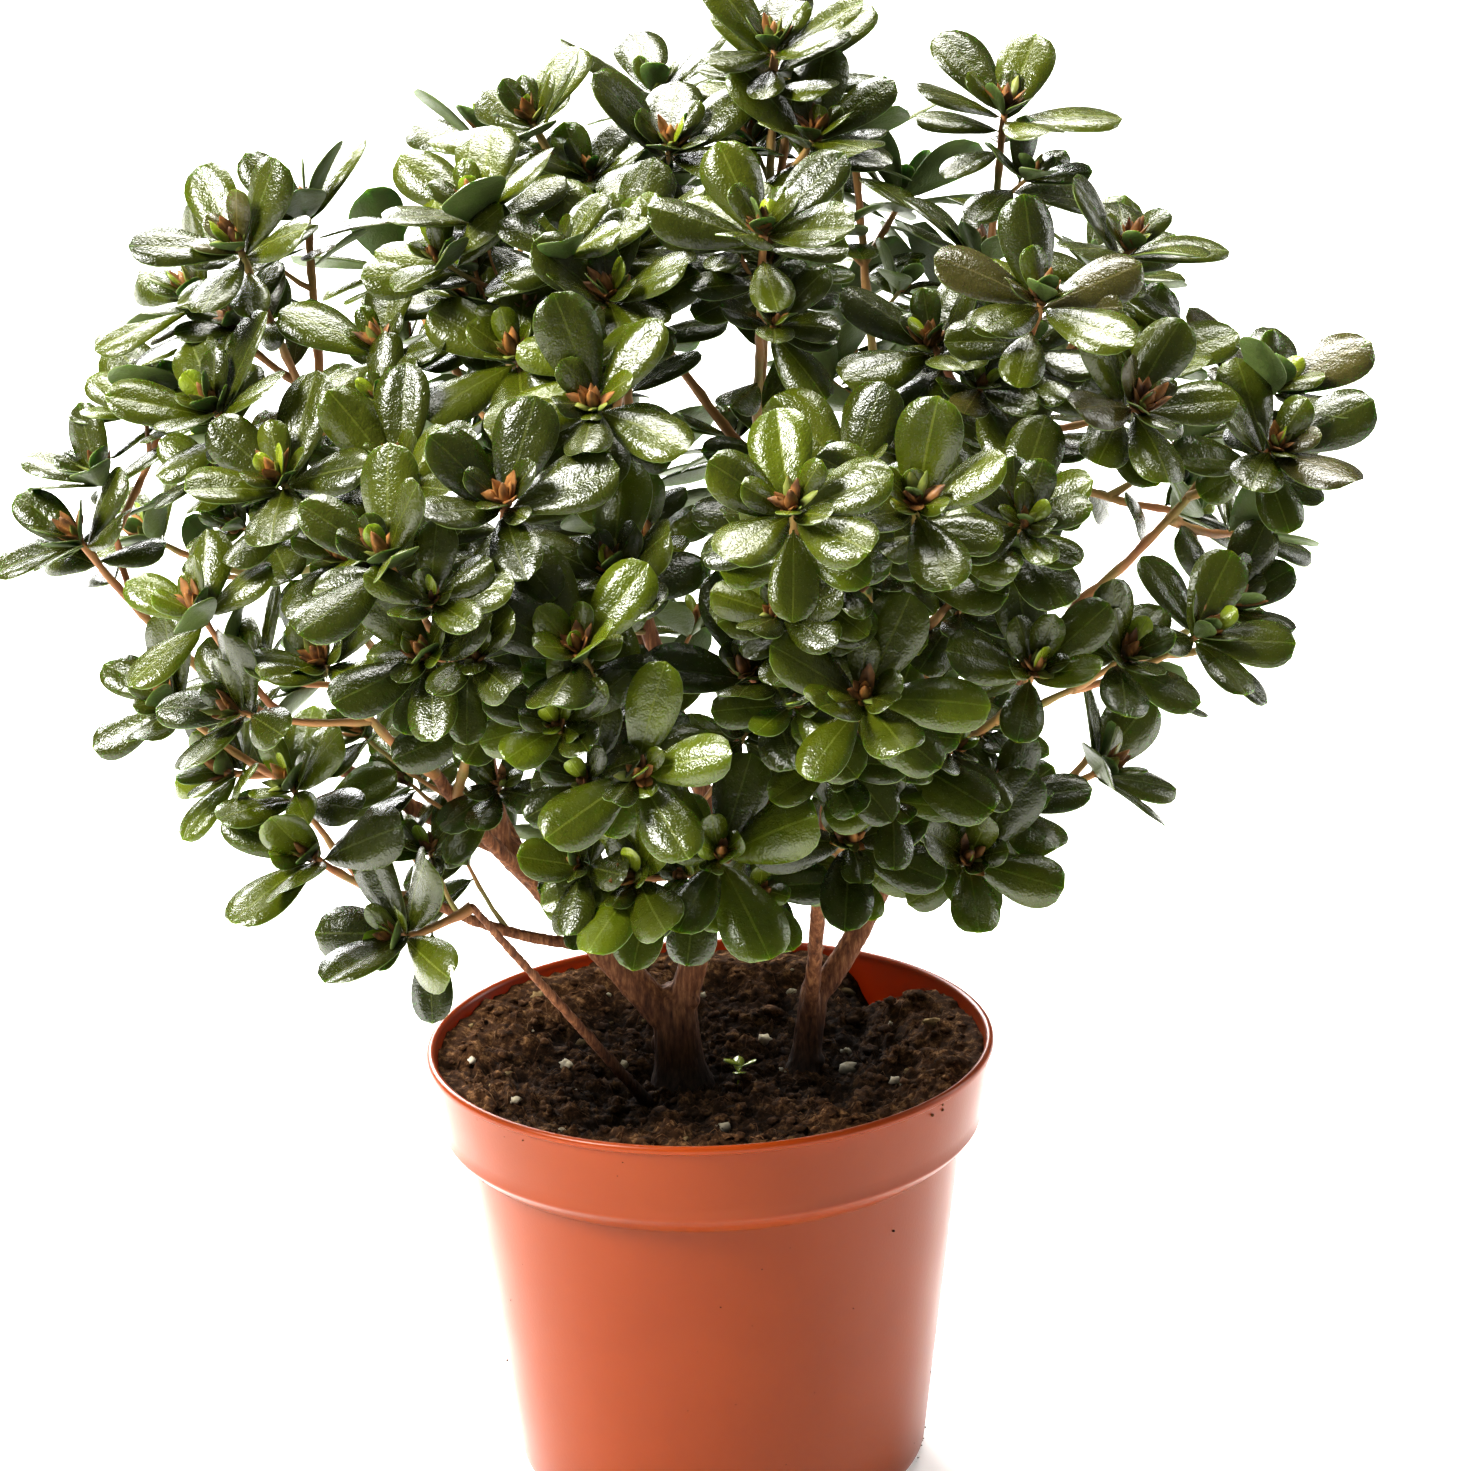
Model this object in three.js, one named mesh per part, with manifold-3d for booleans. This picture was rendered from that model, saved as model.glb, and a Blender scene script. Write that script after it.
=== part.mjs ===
// A potted azalea: an evergreen shrub with small blunt leaves in rosettes, on two stems that
// fork low down, in a round plastic nursery pot filled with peat.
// Millimetres, +Z up, the origin at the middle of the pot's underside. -Y is the front.
import * as THREE from "three";
import { mergeVertices } from "three/addons/utils/BufferGeometryUtils.js";
import Module from "manifold-3d";

const wasm = await Module();
wasm.setup();

// The pot
const POT_HEIGHT = 120;
const POT_TOP_RADIUS = 75;
const POT_FOOT_RADIUS = 51;
const POT_CORNER_RADIUS = 54.4;
const POT_CORNER_HEIGHT = 6;
const POT_NECK_RADIUS = 65.8;
const POT_WALL = 1.4;
const POT_FLOOR = 2;
const POT_SIDES = 32;
const COLLAR_FOOT = 98;
const COLLAR_RADIUS = 71;
const COLLAR_STEP = 5;
const LIP_HEIGHT = 2.4;
const DRAIN_HOLES = 8;
const DRAIN_RADIUS = 4;
const DRAIN_RING = 37;

// The soil
const SOIL_LEVEL = 112.7;
const SOIL_FLAT_RADIUS = 38;
const SOIL_RIM_GAP = 0.4;
const SOIL_HEAP = 4.5;
const SOIL_HOLLOW = 6;

// Gaps between neighbouring solids, and the room that a leaf or twig wants round it
const GAP = 0.3;
const ROOM = 0.55;

// The crown: where it spreads from, and the reach of its side shoots
const HEART = new THREE.Vector3(0, 0, 232);
const CROWN_CENTRE = new THREE.Vector3(0, 0, 274);
const CROWN_REACH = new THREE.Vector3(154, 138, 112);

// Twigs: the main shoots of a spray, their bows in the order they are tried, and its side shoots
const STEM_RADIUS = 1.45;
const SHOOT_RADIUS = 1.15;
const BUD_RADIUS = 1.9;
const BUD_LENGTH = 6.5;
const SHOOT_BOWS = [-0.12, -0.22, 0, -0.32, 0.12, 0.25];
const SECOND_SHOOT = 0.42;
const SIDE_SHOOT = [0.42, 0.62];
const SIDE_LENGTH = [30, 46];
const SIDE_BOW = -0.1;
const SIDE_WAYS = 12;
const TIP_SPACING = 17;
const GOLDEN_ANGLE = 2.39996;

// Leaves: their size, their spread from the twig in degrees, and their shape as shares of length
const ROSETTE_LEAVES = 5;
const LEAF_LENGTH = [28, 34];
const LEAF_THICKNESS = 1;
const LEAF_SPREAD = [54, 82];
const TOP_LEAF_SPREAD = [36, 52];
const LEAF_HALF_WIDTH = 0.26;
const LEAF_WIDEST = 0.56;
const LEAF_RIDGE = 0.4;
const LEAF_END = 0.96;
const LEAF_END_WIDTH = 0.42;
const LEAF_SAG = 0.09;

// How a leaf that doesn't fit is tried again: turns about its twig, changes of its spread from
// the twig in degrees, and sizes.
const LEAF_TRIES = [
  [0, 0, 1], [0, -16, 1], [18, 0, 1], [-18, 0, 1], [0, 14, 1], [20, -26, 0.92], [-20, -26, 0.92],
  [0, -38, 0.88], [30, 10, 0.85], [-30, 10, 0.85],
];

const UP = new THREE.Vector3(0, 0, 1);
const vec = (x, y, z) => new THREE.Vector3(x, y, z);

// Stems that stand on the soil: name, foot, tip, radii at foot and tip, and the flare at the foot.
const STEMS = [
  ["stem_left", [-8, -9], [-9, -8, 133], [6.8, 6], 2.6],
  ["stem_right", [24, -5], [28, -3, 134], [4.2, 3.8], 1.5],
  ["low_shoot", [-16, -21], [-58, -60, 181], [1.5, 1], 0.4],
];

// Limbs and boughs: name, what carries it and how far along, tip, how far the middle is lifted
// as a share of the length, and the radii at its two ends.
const LIMBS = [
  ["limb_left", "stem_left", 0.7, [-52, -11, 180], 0.03, [4.8, 3.6]],
  ["limb_mid", "stem_left", 0.75, [5, -13, 178], -0.04, [4.2, 3.2]],
  ["limb_right", "stem_right", 0.9, [62, 2, 200], -0.2, [3.3, 2.5]],
  ["limb_centre", "stem_right", 0.6, [34, -50, 222], 0.04, [2.1, 1.6]],
  ["bough_left_up", "limb_left", 1, [-58, -28, 246], -0.08, [2.8, 1.8]],
  ["bough_left_back", "limb_left", 0.88, [-78, 28, 248], -0.12, [2.5, 1.7]],
  ["bough_far_left", "limb_left", 0.96, [-116, -24, 226], -0.08, [2.3, 1.6]],
  ["bough_left_front", "limb_left", 0.78, [-66, -50, 213], -0.1, [2.1, 1.6]],
  ["bough_left_low", "limb_left", 0.45, [-73, -24, 171], -0.12, [1.7, 1.3]],
  ["bough_mid_up", "limb_mid", 1, [-18, -26, 266], -0.06, [2.8, 1.9]],
  ["bough_top", "limb_mid", 0.93, [18, 10, 286], -0.05, [2.5, 1.8]],
  ["bough_mid_back", "limb_mid", 0.8, [-20, 58, 236], -0.12, [2.2, 1.6]],
  ["bough_front", "limb_mid", 0.66, [-6, -58, 210], -0.12, [2, 1.5]],
  ["bough_right_up", "limb_right", 1, [66, -8, 266], -0.06, [2.3, 1.7]],
  ["bough_right_back", "limb_right", 0.86, [60, 56, 240], -0.1, [2.1, 1.6]],
  ["bough_right_far", "limb_right", 0.93, [98, -16, 242], -0.1, [2, 1.5]],
  ["bough_right_front", "limb_right", 0.76, [62, -50, 220], -0.12, [1.9, 1.5]],
  ["bough_right_low", "limb_right", 0.55, [84, 4, 184], -0.1, [1.6, 1.2]],
];

// Sprays, the masses of leafy shoots: name, what carries it and how far along, the tips of its
// main shoots (right, back, up) and how many side shoots it puts out.
const SPRAYS = [
  ["spray_top", "bough_top", 1, [[25, 28, 380], [30, 52, 368]], 1],
  ["spray_top_left", "bough_top", 0.9, [[-38, 34, 361]], 2],
  ["spray_top_front", "bough_top", 0.78, [[20, -50, 350]], 1],
  ["spray_top_right", "bough_right_up", 0.8, [[84, 40, 359]], 1],
  ["spray_crest_left", "bough_mid_up", 1, [[-51, -20, 351], [-42, -44, 319]], 1],
  ["spray_crest_mid", "bough_mid_up", 0.88, [[-14, -20, 341], [-22, -80, 315]], 1],
  ["spray_crest_right", "bough_right_up", 1, [[87, -60, 333], [60, -40, 318]], 1],
  ["spray_right_shoulder", "bough_right_up", 0.9, [[113, 0, 331]], 1],
  ["spray_left_shoulder", "bough_left_back", 1, [[-111, -10, 341], [-97, 40, 338]], 1],
  ["spray_left_high", "bough_left_up", 1, [[-71, -62, 296], [-76, -26, 318]], 1],
  ["spray_left", "bough_left_up", 0.8, [[-100, -60, 294], [-118, -30, 305]], 1],
  ["spray_far_left", "bough_far_left", 1, [[-156, -15, 268]], 2],
  ["spray_left_low", "bough_far_left", 0.62, [[-121, -22, 206]], 1],
  ["spray_left_front", "bough_left_front", 1, [[-91, -75, 252]], 2],
  ["spray_front_left_high", "bough_left_front", 0.8, [[-43, -100, 298]], 2],
  ["spray_low_left", "bough_left_low", 1, [[-98, -56, 195]], 1],
  ["spray_low_shoot", "low_shoot", 1, [[-78, -62, 174]], 0],
  ["spray_front_left", "bough_front", 1, [[-27, -115, 265], [-19, -92, 278]], 1],
  ["spray_low_front", "bough_front", 0.55, [[5, -92, 204]], 1],
  ["spray_front", "limb_centre", 1, [[40, -115, 251], [12, -90, 250]], 0],
  ["spray_front_high", "limb_centre", 0.8, [[24, -125, 301]], 2],
  ["spray_low_right", "limb_centre", 0.62, [[37, -72, 200]], 1],
  ["spray_front_right_high", "bough_right_front", 0.7, [[53, -110, 297]], 1],
  ["spray_front_right", "bough_right_front", 1, [[82, -94, 250]], 2],
  ["spray_low_right_front", "bough_right_low", 0.55, [[66, -62, 190]], 1],
  ["spray_low_right_far", "bough_right_low", 1, [[106, 8, 189]], 1],
  ["spray_right_low", "bough_right_far", 0.75, [[134, 5, 222]], 1],
  ["spray_right", "bough_right_far", 1, [[148, -10, 296], [141, 12, 251]], 1],
  ["spray_back_far_left", "bough_left_back", 0.72, [[-126, 55, 272]], 2],
  ["spray_back_low_left", "bough_left_back", 0.5, [[-96, 72, 220]], 2],
  ["spray_back_left", "bough_mid_back", 0.85, [[-80, 96, 312], [-50, 74, 348]], 2],
  ["spray_back_low", "bough_mid_back", 0.66, [[-32, 102, 214], [-12, 124, 244]], 1],
  ["spray_back", "bough_mid_back", 1, [[-24, 122, 300], [-6, 82, 358]], 2],
  ["spray_back_right", "bough_right_back", 1, [[42, 120, 290], [46, 92, 342]], 2],
  ["spray_back_far_right", "bough_right_back", 0.84, [[112, 64, 308], [130, 50, 246]], 2],
  ["spray_back_low_right", "bough_right_back", 0.6, [[34, 108, 226], [86, 84, 220]], 1],
];

// A small repeatable source of chance: the same seeds always give the same plant.
class Chance {
  constructor(...seeds) {
    this.state = 12345;
    for (const seed of seeds) {
      this.state = (this.state ^ Math.imul(seed + 1, 2654435761)) >>> 0;
      this.next();
    }
  }

  next() {
    this.state = (Math.imul(this.state, 1664525) + 1013904223) >>> 0;
    return this.state / 4294967296;
  }

  between(low, high) {
    return low + (high - low) * this.next();
  }
}

// A curve from foot to tip whose middle is lifted by a share of its length.
function arc(foot, tip, bow) {
  const middle = foot.clone().lerp(tip, 0.5);
  middle.z += bow * foot.distanceTo(tip);
  return new THREE.QuadraticBezierCurve3(foot, middle, tip);
}

// The unit vector square to an axis, at an angle round it.
function across(axis, angle) {
  const side = vec(0, 0, 0).crossVectors(axis, Math.abs(axis.z) < 0.95 ? UP : vec(1, 0, 0));
  return side.normalize().applyAxisAngle(axis, angle);
}

// The direction from the crown's heart outwards.
function outwards(point) {
  return point.clone().sub(HEART).normalize();
}

// Solids in and out of the library that joins and cuts them

function solidOf(geometry) {
  const bare = new THREE.BufferGeometry();
  bare.setAttribute("position", geometry.getAttribute("position"));
  bare.setIndex(geometry.index);
  const merged = mergeVertices(bare, 1e-4);
  const corners = [];
  for (let i = 0; i < merged.index.count; i += 3) {
    const [a, b, c] = [0, 1, 2].map((k) => merged.index.getX(i + k));
    if (a !== b && b !== c && c !== a) corners.push(a, b, c);
  }
  return new wasm.Manifold(
    new wasm.Mesh({
      numProp: 3,
      vertProperties: new Float32Array(merged.getAttribute("position").array),
      triVerts: new Uint32Array(corners),
    }),
  );
}

function geometryOf(solid) {
  const mesh = solid.getMesh();
  const geometry = new THREE.BufferGeometry();
  geometry.setAttribute("position", new THREE.BufferAttribute(mesh.vertProperties, 3));
  geometry.setIndex(new THREE.BufferAttribute(mesh.triVerts, 1));
  geometry.computeVertexNormals();
  return geometry;
}

// The largest body of a solid, so a sealed hollow is filled and a loose scrap dropped.
function largestBody(solid) {
  return solid.decompose().reduce((a, b) => (b.volume() > a.volume() ? b : a));
}

// A tapering tube along a curve, with its radius at each share of the way. It is closed at both
// ends, in a point where the last radius is 0, and longer by the overhang at its tip.
function tube(curve, shares, radii, sides, overhang = 0) {
  const points = [];
  const faces = [];
  const last = shares.length - 1;
  const first = across(curve.getTangentAt(0), 0);
  shares.forEach((share, step) => {
    const axis = curve.getTangentAt(share);
    const centre = curve.getPointAt(share);
    if (step === last) centre.addScaledVector(axis, overhang);
    first.addScaledVector(axis, -first.dot(axis)).normalize();
    for (let k = 0; k < sides; k++) {
      const spoke = first.clone().applyAxisAngle(axis, k * Math.PI * 2 / sides);
      points.push(...spoke.multiplyScalar(radii[step]).add(centre).toArray());
      if (step === last) continue;
      const here = step * sides + k;
      const beside = step * sides + (k + 1) % sides;
      faces.push(here, beside, beside + sides, here, beside + sides, here + sides);
    }
  });
  const end = last * sides;
  for (let k = 1; k < sides - 1; k++) {
    faces.push(0, k + 1, k, end, end + k, end + k + 1);
  }
  const geometry = new THREE.BufferGeometry();
  geometry.setAttribute("position", new THREE.Float32BufferAttribute(points, 3));
  return geometry.setIndex(faces);
}

// Stems, limbs and boughs

function taper([foot, tip], flare = 0) {
  return (share) => {
    const swell = flare * Math.max(0, 1 - share * 2.2) ** 2;
    return foot + (tip - foot) * share + swell;
  };
}

// A stem's line starts a little below the soil, where its foot is then cut level.
function makeStem([name, foot, tip, radii, flare]) {
  const start = vec(foot[0], foot[1], SOIL_LEVEL - 3);
  return { name, curve: arc(start, vec(...tip), 0), radiusAt: taper(radii, flare), order: 0 };
}

function growLimbs() {
  const grown = STEMS.map(makeStem);
  for (const [name, parent, along, tip, bow, radii] of LIMBS) {
    const carrier = grown.find((limb) => limb.name === parent);
    const curve = arc(carrier.curve.getPointAt(along), vec(...tip), bow);
    grown.push({ name, curve, radiusAt: taper(radii), order: carrier.order + 1 });
  }
  return grown;
}

// The solid of a limb, or with some room the space that its neighbours keep out of.
function limbSolid(limb, room = 0) {
  const steps = Math.max(3, Math.round(limb.curve.getLength() / 15));
  const shares = Array.from({ length: steps + 1 }, (_, step) => step / steps);
  const radii = shares.map((share) => limb.radiusAt(share) + room);
  return solidOf(tube(limb.curve, shares, radii, limb.order < 2 ? 8 : 6, room));
}

// A stem's foot is cut flat where it meets the soil.
function levelFoot(solid) {
  const below = new THREE.BoxGeometry(120, 120, 20);
  below.translate(0, 0, SOIL_LEVEL + GAP - 10);
  return solid.subtract(solidOf(below));
}

// Shells for testing whether two pieces would touch: faces, edges and a bounding sphere

function shell(points, faces, spray = null) {
  const edges = new Map();
  for (const [a, b, c] of faces) {
    for (const [p, q] of [[a, b], [b, c], [c, a]]) {
      if (p < q) edges.set(p * 100 + q, [points[p], points[q]]);
    }
  }
  return {
    spray,
    faces: faces.map((face) => face.map((corner) => points[corner])),
    edges: [...edges.values()],
    bound: new THREE.Sphere().setFromPoints(points),
  };
}

const ray = new THREE.Ray();
const hit = new THREE.Vector3();

function pierces(edges, faces) {
  for (const [from, to] of edges) {
    const length = from.distanceTo(to);
    ray.origin.copy(from);
    ray.direction.subVectors(to, from).divideScalar(length);
    for (const [p, q, r] of faces) {
      if (ray.intersectTriangle(p, q, r, false, hit) && hit.distanceTo(from) <= length) return true;
    }
  }
  return false;
}

function touches(a, b) {
  if (!a.bound.intersectsSphere(b.bound)) return false;
  return pierces(a.edges, b.faces) || pierces(b.edges, a.faces);
}

const SHELL_LENGTH = 12;
const SHELL_REACH = 1.6;
const PRISM_FACES = [
  [0, 1, 4], [0, 4, 3], [1, 2, 5], [1, 5, 4], [2, 0, 3], [2, 3, 5], [0, 2, 1], [3, 4, 5],
];

// Three-sided shells along a curve, from one share of it to its end.
function shellsAlong(curve, radiusAt, start, spray = null) {
  const steps = Math.max(2, Math.round(curve.getLength() * (1 - start) / SHELL_LENGTH));
  const ring = (step) => {
    const share = start + (1 - start) * step / steps;
    const centre = curve.getPointAt(share);
    const axis = curve.getTangentAt(share);
    const reach = radiusAt(share) * SHELL_REACH;
    const spokes = [0, 1, 2].map((k) => across(axis, k * Math.PI / 1.5));
    return spokes.map((spoke) => spoke.multiplyScalar(reach).add(centre));
  };
  return Array.from({ length: steps }, (_, i) =>
    shell([...ring(i), ...ring(i + 1)], PRISM_FACES, spray));
}

// Leaves

// A leaf's six corners: its root, its two sides, its blunt end and the middle of its upper side.
function leafCorners({ root, along, face, length }, from, room) {
  const side = vec(0, 0, 0).crossVectors(face, along);
  const half = length * LEAF_HALF_WIDTH + room;
  const end = length * LEAF_END + room;
  const widest = length * LEAF_WIDEST;
  const sag = length * LEAF_SAG;
  const at = (x, y, z) => root.clone()
    .addScaledVector(along, x).addScaledVector(side, y).addScaledVector(face, z - room * 0.5);
  return [
    at(from, 0, 0),
    at(widest, -half, -sag / 3),
    at(end, -half * LEAF_END_WIDTH, -sag),
    at(end, half * LEAF_END_WIDTH, -sag),
    at(widest, half, -sag / 3),
    at(length * LEAF_RIDGE, 0, LEAF_THICKNESS + room * 1.5),
  ];
}

// Five faces above, and three below that leave the root in one.
const LEAF_FACES = [
  [0, 1, 5], [1, 2, 5], [2, 3, 5], [3, 4, 5], [4, 0, 5], [0, 4, 1], [1, 4, 3], [1, 3, 2],
];

function leafGeometry(leaf) {
  const corners = leafCorners(leaf, -0.35, 0);
  const geometry = new THREE.BufferGeometry();
  geometry.setAttribute("position",
    new THREE.Float32BufferAttribute(corners.flatMap((corner) => corner.toArray()), 3));
  return geometry.setIndex(LEAF_FACES.flat());
}

// Growth: shoots that fill the free space, then leaves that fit round them

class Plant {
  constructor(limbs) {
    this.limbs = limbs;
    this.limbShells = limbs.map((limb) => shellsAlong(limb.curve, limb.radiusAt, 0));
    this.sprays = [];
    this.rosettes = [];
    this.twigShells = [];
    this.leafShells = [];
  }

  // A twig ends in a bud, which starts at the bud share of its length.
  twig(curve, radius, spray) {
    const budShare = 1 - BUD_LENGTH / curve.getLength();
    return { curve, radius, budShare, spray, leaves: [] };
  }

  // Whether a twig would keep clear of the limbs that don't carry it and of other twigs.
  fitsTwig(twig, exempt) {
    const limbs = this.limbShells.filter((_, i) => this.limbs[i] !== twig.spray.carrier).flat();
    const others = this.twigShells.filter((other) => other.twig !== exempt);
    const meets = (start, parts) => shellsAlong(twig.curve, () => twig.radius + ROOM, start)
      .some((own) => parts.some((part) => touches(own, part)));
    return !meets(0.12, limbs) && !meets(0.03, others);
  }

  addTwig(twig) {
    twig.spray.twigs.push(twig);
    const shells = shellsAlong(twig.curve, () => twig.radius, 0.03, twig.spray);
    this.twigShells.push(...shells.map((part) => ({ ...part, twig })));
    const tip = twig.curve.getPoint(1);
    const axis = twig.curve.getTangent(1).multiplyScalar(0.5);
    axis.addScaledVector(outwards(tip), 0.5).addScaledVector(UP, 0.45).normalize();
    this.rosettes.push({ tip, axis, twig, index: this.rosettes.length });
  }

  // A main shoot runs to its stated tip, on the first bow that keeps it clear.
  growMain(spray, tip, exempt, foot) {
    let twig;
    for (const bow of SHOOT_BOWS) {
      twig = this.twig(arc(foot, tip, bow), STEM_RADIUS, spray);
      if (this.fitsTwig(twig, exempt)) break;
    }
    this.addTwig(twig);
  }

  growSpray([name, limbName, along, tips, sideShoots], number) {
    const carrier = this.limbs.find((limb) => limb.name === limbName);
    const spray = { name, carrier, sideShoots, number, twigs: [] };
    this.sprays.push(spray);
    tips.forEach((tip) => {
      const main = spray.twigs[0];
      const foot = main ? main.curve.getPointAt(SECOND_SHOOT) : carrier.curve.getPointAt(along);
      this.growMain(spray, vec(...tip), main, foot);
    });
  }

  // A side shoot leaves towards the widest free space that it can reach inside the crown.
  growSide(spray, round) {
    const chance = new Chance(spray.number, round);
    const parent = spray.twigs[round % spray.twigs.length];
    const along = chance.between(...SIDE_SHOOT);
    const foot = parent.curve.getPointAt(along);
    const axis = parent.curve.getTangentAt(along);
    const spin = chance.between(0, Math.PI * 2);
    const length = chance.between(...SIDE_LENGTH);
    let best = null;
    let bestSpace = TIP_SPACING;
    for (let k = 0; k < SIDE_WAYS; k++) {
      const way = across(axis, spin + k * GOLDEN_ANGLE).multiplyScalar(0.85)
        .addScaledVector(axis, 0.5).addScaledVector(outwards(foot), 0.4).addScaledVector(UP, 0.12);
      const tip = foot.clone().addScaledVector(way.normalize(), length * (1 - 0.03 * k));
      if (tip.clone().sub(CROWN_CENTRE).divide(CROWN_REACH).length() > 1) continue;
      const space = Math.min(...this.rosettes.map((rosette) => rosette.tip.distanceTo(tip)));
      if (space <= bestSpace) continue;
      const twig = this.twig(arc(foot, tip, SIDE_BOW), SHOOT_RADIUS, spray);
      if (!this.fitsTwig(twig, parent)) continue;
      best = twig;
      bestSpace = space;
    }
    if (best) this.addTwig(best);
  }

  // Whether a leaf keeps clear of limbs, of other sprays, and of the blades of its own spray.
  fitsLeaf(leaf, twig) {
    const whole = shell(leafCorners(leaf, 1, ROOM), LEAF_FACES);
    const blade = shell(leafCorners(leaf, leaf.length * 0.2, ROOM * 0.5), LEAF_FACES);
    const meets = (other) => touches(other.spray === twig.spray ? blade : whole, other);
    return !this.limbShells.flat().some((part) => touches(whole, part))
      && !this.twigShells.some((part) => part.twig !== twig && meets(part))
      && !this.leafShells.some((part) => part.blade && part.spray === twig.spray && meets(part))
      && !this.leafShells.some((part) => !part.blade && part.spray !== twig.spray && meets(part));
  }

  // A leaf that stands at an angle round a twig and spreads from the twig's axis.
  growLeaf(twig, share, axis, angle, spread, length) {
    for (const [turn, lean, size] of LEAF_TRIES) {
      const radial = across(axis, angle + THREE.MathUtils.degToRad(turn));
      const tilt = THREE.MathUtils.degToRad(spread + lean);
      const leaf = {
        root: twig.curve.getPointAt(share),
        along: axis.clone().multiplyScalar(Math.cos(tilt)).addScaledVector(radial, Math.sin(tilt)),
        face: axis.clone().multiplyScalar(Math.sin(tilt)).addScaledVector(radial, -Math.cos(tilt)),
        length: length * size,
      };
      if (!this.fitsLeaf(leaf, twig)) continue;
      twig.leaves.push(leaf);
      this.leafShells.push(shell(leafCorners(leaf, 1, 0), LEAF_FACES, twig.spray));
      const blade = shell(leafCorners(leaf, leaf.length * 0.2, 0), LEAF_FACES, twig.spray);
      blade.blade = true;
      this.leafShells.push(blade);
      return;
    }
  }

  // A rosette: leaves that spread round the bud, the last of them standing up.
  growRosette({ axis, twig, index }, layer) {
    const chance = new Chance(index, layer, 7);
    const spin = new Chance(index, 3).between(0, Math.PI * 2);
    const angle = spin + layer * Math.PI * 2 / ROSETTE_LEAVES + chance.between(-0.2, 0.2);
    const length = chance.between(...LEAF_LENGTH);
    const top = layer === ROSETTE_LEAVES - 1;
    const spread = chance.between(...(top ? TOP_LEAF_SPREAD : LEAF_SPREAD));
    const share = 1 - (3 + layer * 0.6) / twig.curve.getLength();
    this.growLeaf(twig, share, axis, angle, spread, length);
  }

  grow() {
    SPRAYS.forEach((row, number) => this.growSpray(row, number));
    for (let round = 0; round < 3; round++) {
      for (const spray of this.sprays) {
        if (round < spray.sideShoots) this.growSide(spray, round);
      }
    }
    for (let layer = 0; layer < ROSETTE_LEAVES; layer++) {
      this.rosettes.forEach((rosette) => this.growRosette(rosette, layer));
    }
  }
}

// A twig's solid: three-sided, swelling to its bud and ending in a point.
function twigSolid(twig) {
  const steps = Math.max(3, Math.round(twig.curve.getLength() / 22));
  const shares = [...Array(steps).keys()].map((step) => twig.budShare * step / (steps - 1));
  const radii = shares.map((_, step) => step === steps - 1 ? BUD_RADIUS : twig.radius);
  return solidOf(tube(twig.curve, [...shares, 1], [...radii, 0], 3));
}

function spraySolid(spray, limbSpaces) {
  const parts = spray.twigs.flatMap((twig) => [
    twigSolid(twig),
    ...twig.leaves.map((leaf) => solidOf(leafGeometry(leaf))),
  ]);
  const joined = parts.reduce((whole, part) => whole.add(part));
  return largestBody(limbSpaces.reduce((whole, space) => whole.subtract(space), joined));
}

// The pot

// Half sections of the pot and of the soil, as radii and heights.
function potProfile() {
  const neck = COLLAR_FOOT - COLLAR_STEP;
  const lip = POT_HEIGHT - LIP_HEIGHT;
  return [
    [0, 0], [POT_FOOT_RADIUS, 0], [POT_CORNER_RADIUS - 1, 2.2],
    [POT_CORNER_RADIUS, POT_CORNER_HEIGHT], [POT_NECK_RADIUS, neck], [COLLAR_RADIUS, COLLAR_FOOT],
    [POT_TOP_RADIUS - 1, lip], [POT_TOP_RADIUS, lip + 0.5], [POT_TOP_RADIUS - 0.8, POT_HEIGHT],
    [POT_TOP_RADIUS - 2.2, POT_HEIGHT - 0.6], [COLLAR_RADIUS - POT_WALL, COLLAR_FOOT + 1],
    [POT_NECK_RADIUS - POT_WALL, neck + 1], [POT_CORNER_RADIUS - POT_WALL, POT_CORNER_HEIGHT],
    [POT_FOOT_RADIUS - 0.5, POT_FLOOR], [0, POT_FLOOR],
  ];
}

function soilProfile() {
  const inner = POT_WALL + SOIL_RIM_GAP;
  const neck = COLLAR_FOOT - COLLAR_STEP;
  const edge = COLLAR_RADIUS - inner + 1.2;
  const rings = [1, 0.86, 0.7, 0.54, 0];
  return [
    [0, POT_FLOOR + GAP], [POT_FOOT_RADIUS - 1, POT_FLOOR + GAP],
    [POT_CORNER_RADIUS - inner, POT_CORNER_HEIGHT + 0.5], [POT_NECK_RADIUS - inner, neck + 1.5],
    [COLLAR_RADIUS - inner - 0.2, COLLAR_FOOT + 2], ...rings.map((share) => [edge * share, SOIL_LEVEL]),
  ];
}

function turned(profile) {
  const points = profile.map(([radius, z]) => new THREE.Vector2(radius, z));
  return new THREE.LatheGeometry(points, POT_SIDES).rotateX(Math.PI / 2);
}

function potSolid() {
  let pot = solidOf(turned(potProfile()));
  for (let i = 0; i < DRAIN_HOLES; i++) {
    const drill = new THREE.CylinderGeometry(DRAIN_RADIUS, DRAIN_RADIUS, POT_FLOOR * 4, 8);
    drill.rotateX(Math.PI / 2);
    const angle = (i + 0.5) * Math.PI * 2 / DRAIN_HOLES;
    drill.translate(DRAIN_RING * Math.cos(angle), DRAIN_RING * Math.sin(angle), 0);
    pot = pot.subtract(solidOf(drill));
  }
  return pot;
}

// The soil fills the pot. Its top is level round the stems, heaped against the rim at the back
// left and hollowed at the back right.
function soilHeight(x, y) {
  const share = THREE.MathUtils.smoothstep(Math.hypot(x, y), SOIL_FLAT_RADIUS, 68);
  const angle = Math.atan2(y, x);
  const heap = Math.max(0, Math.cos(angle - 2.55)) ** 2;
  const hollow = Math.max(0, Math.cos(angle - 0.85)) ** 4;
  return SOIL_LEVEL + share * (SOIL_HEAP * heap - SOIL_HOLLOW * hollow);
}

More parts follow.
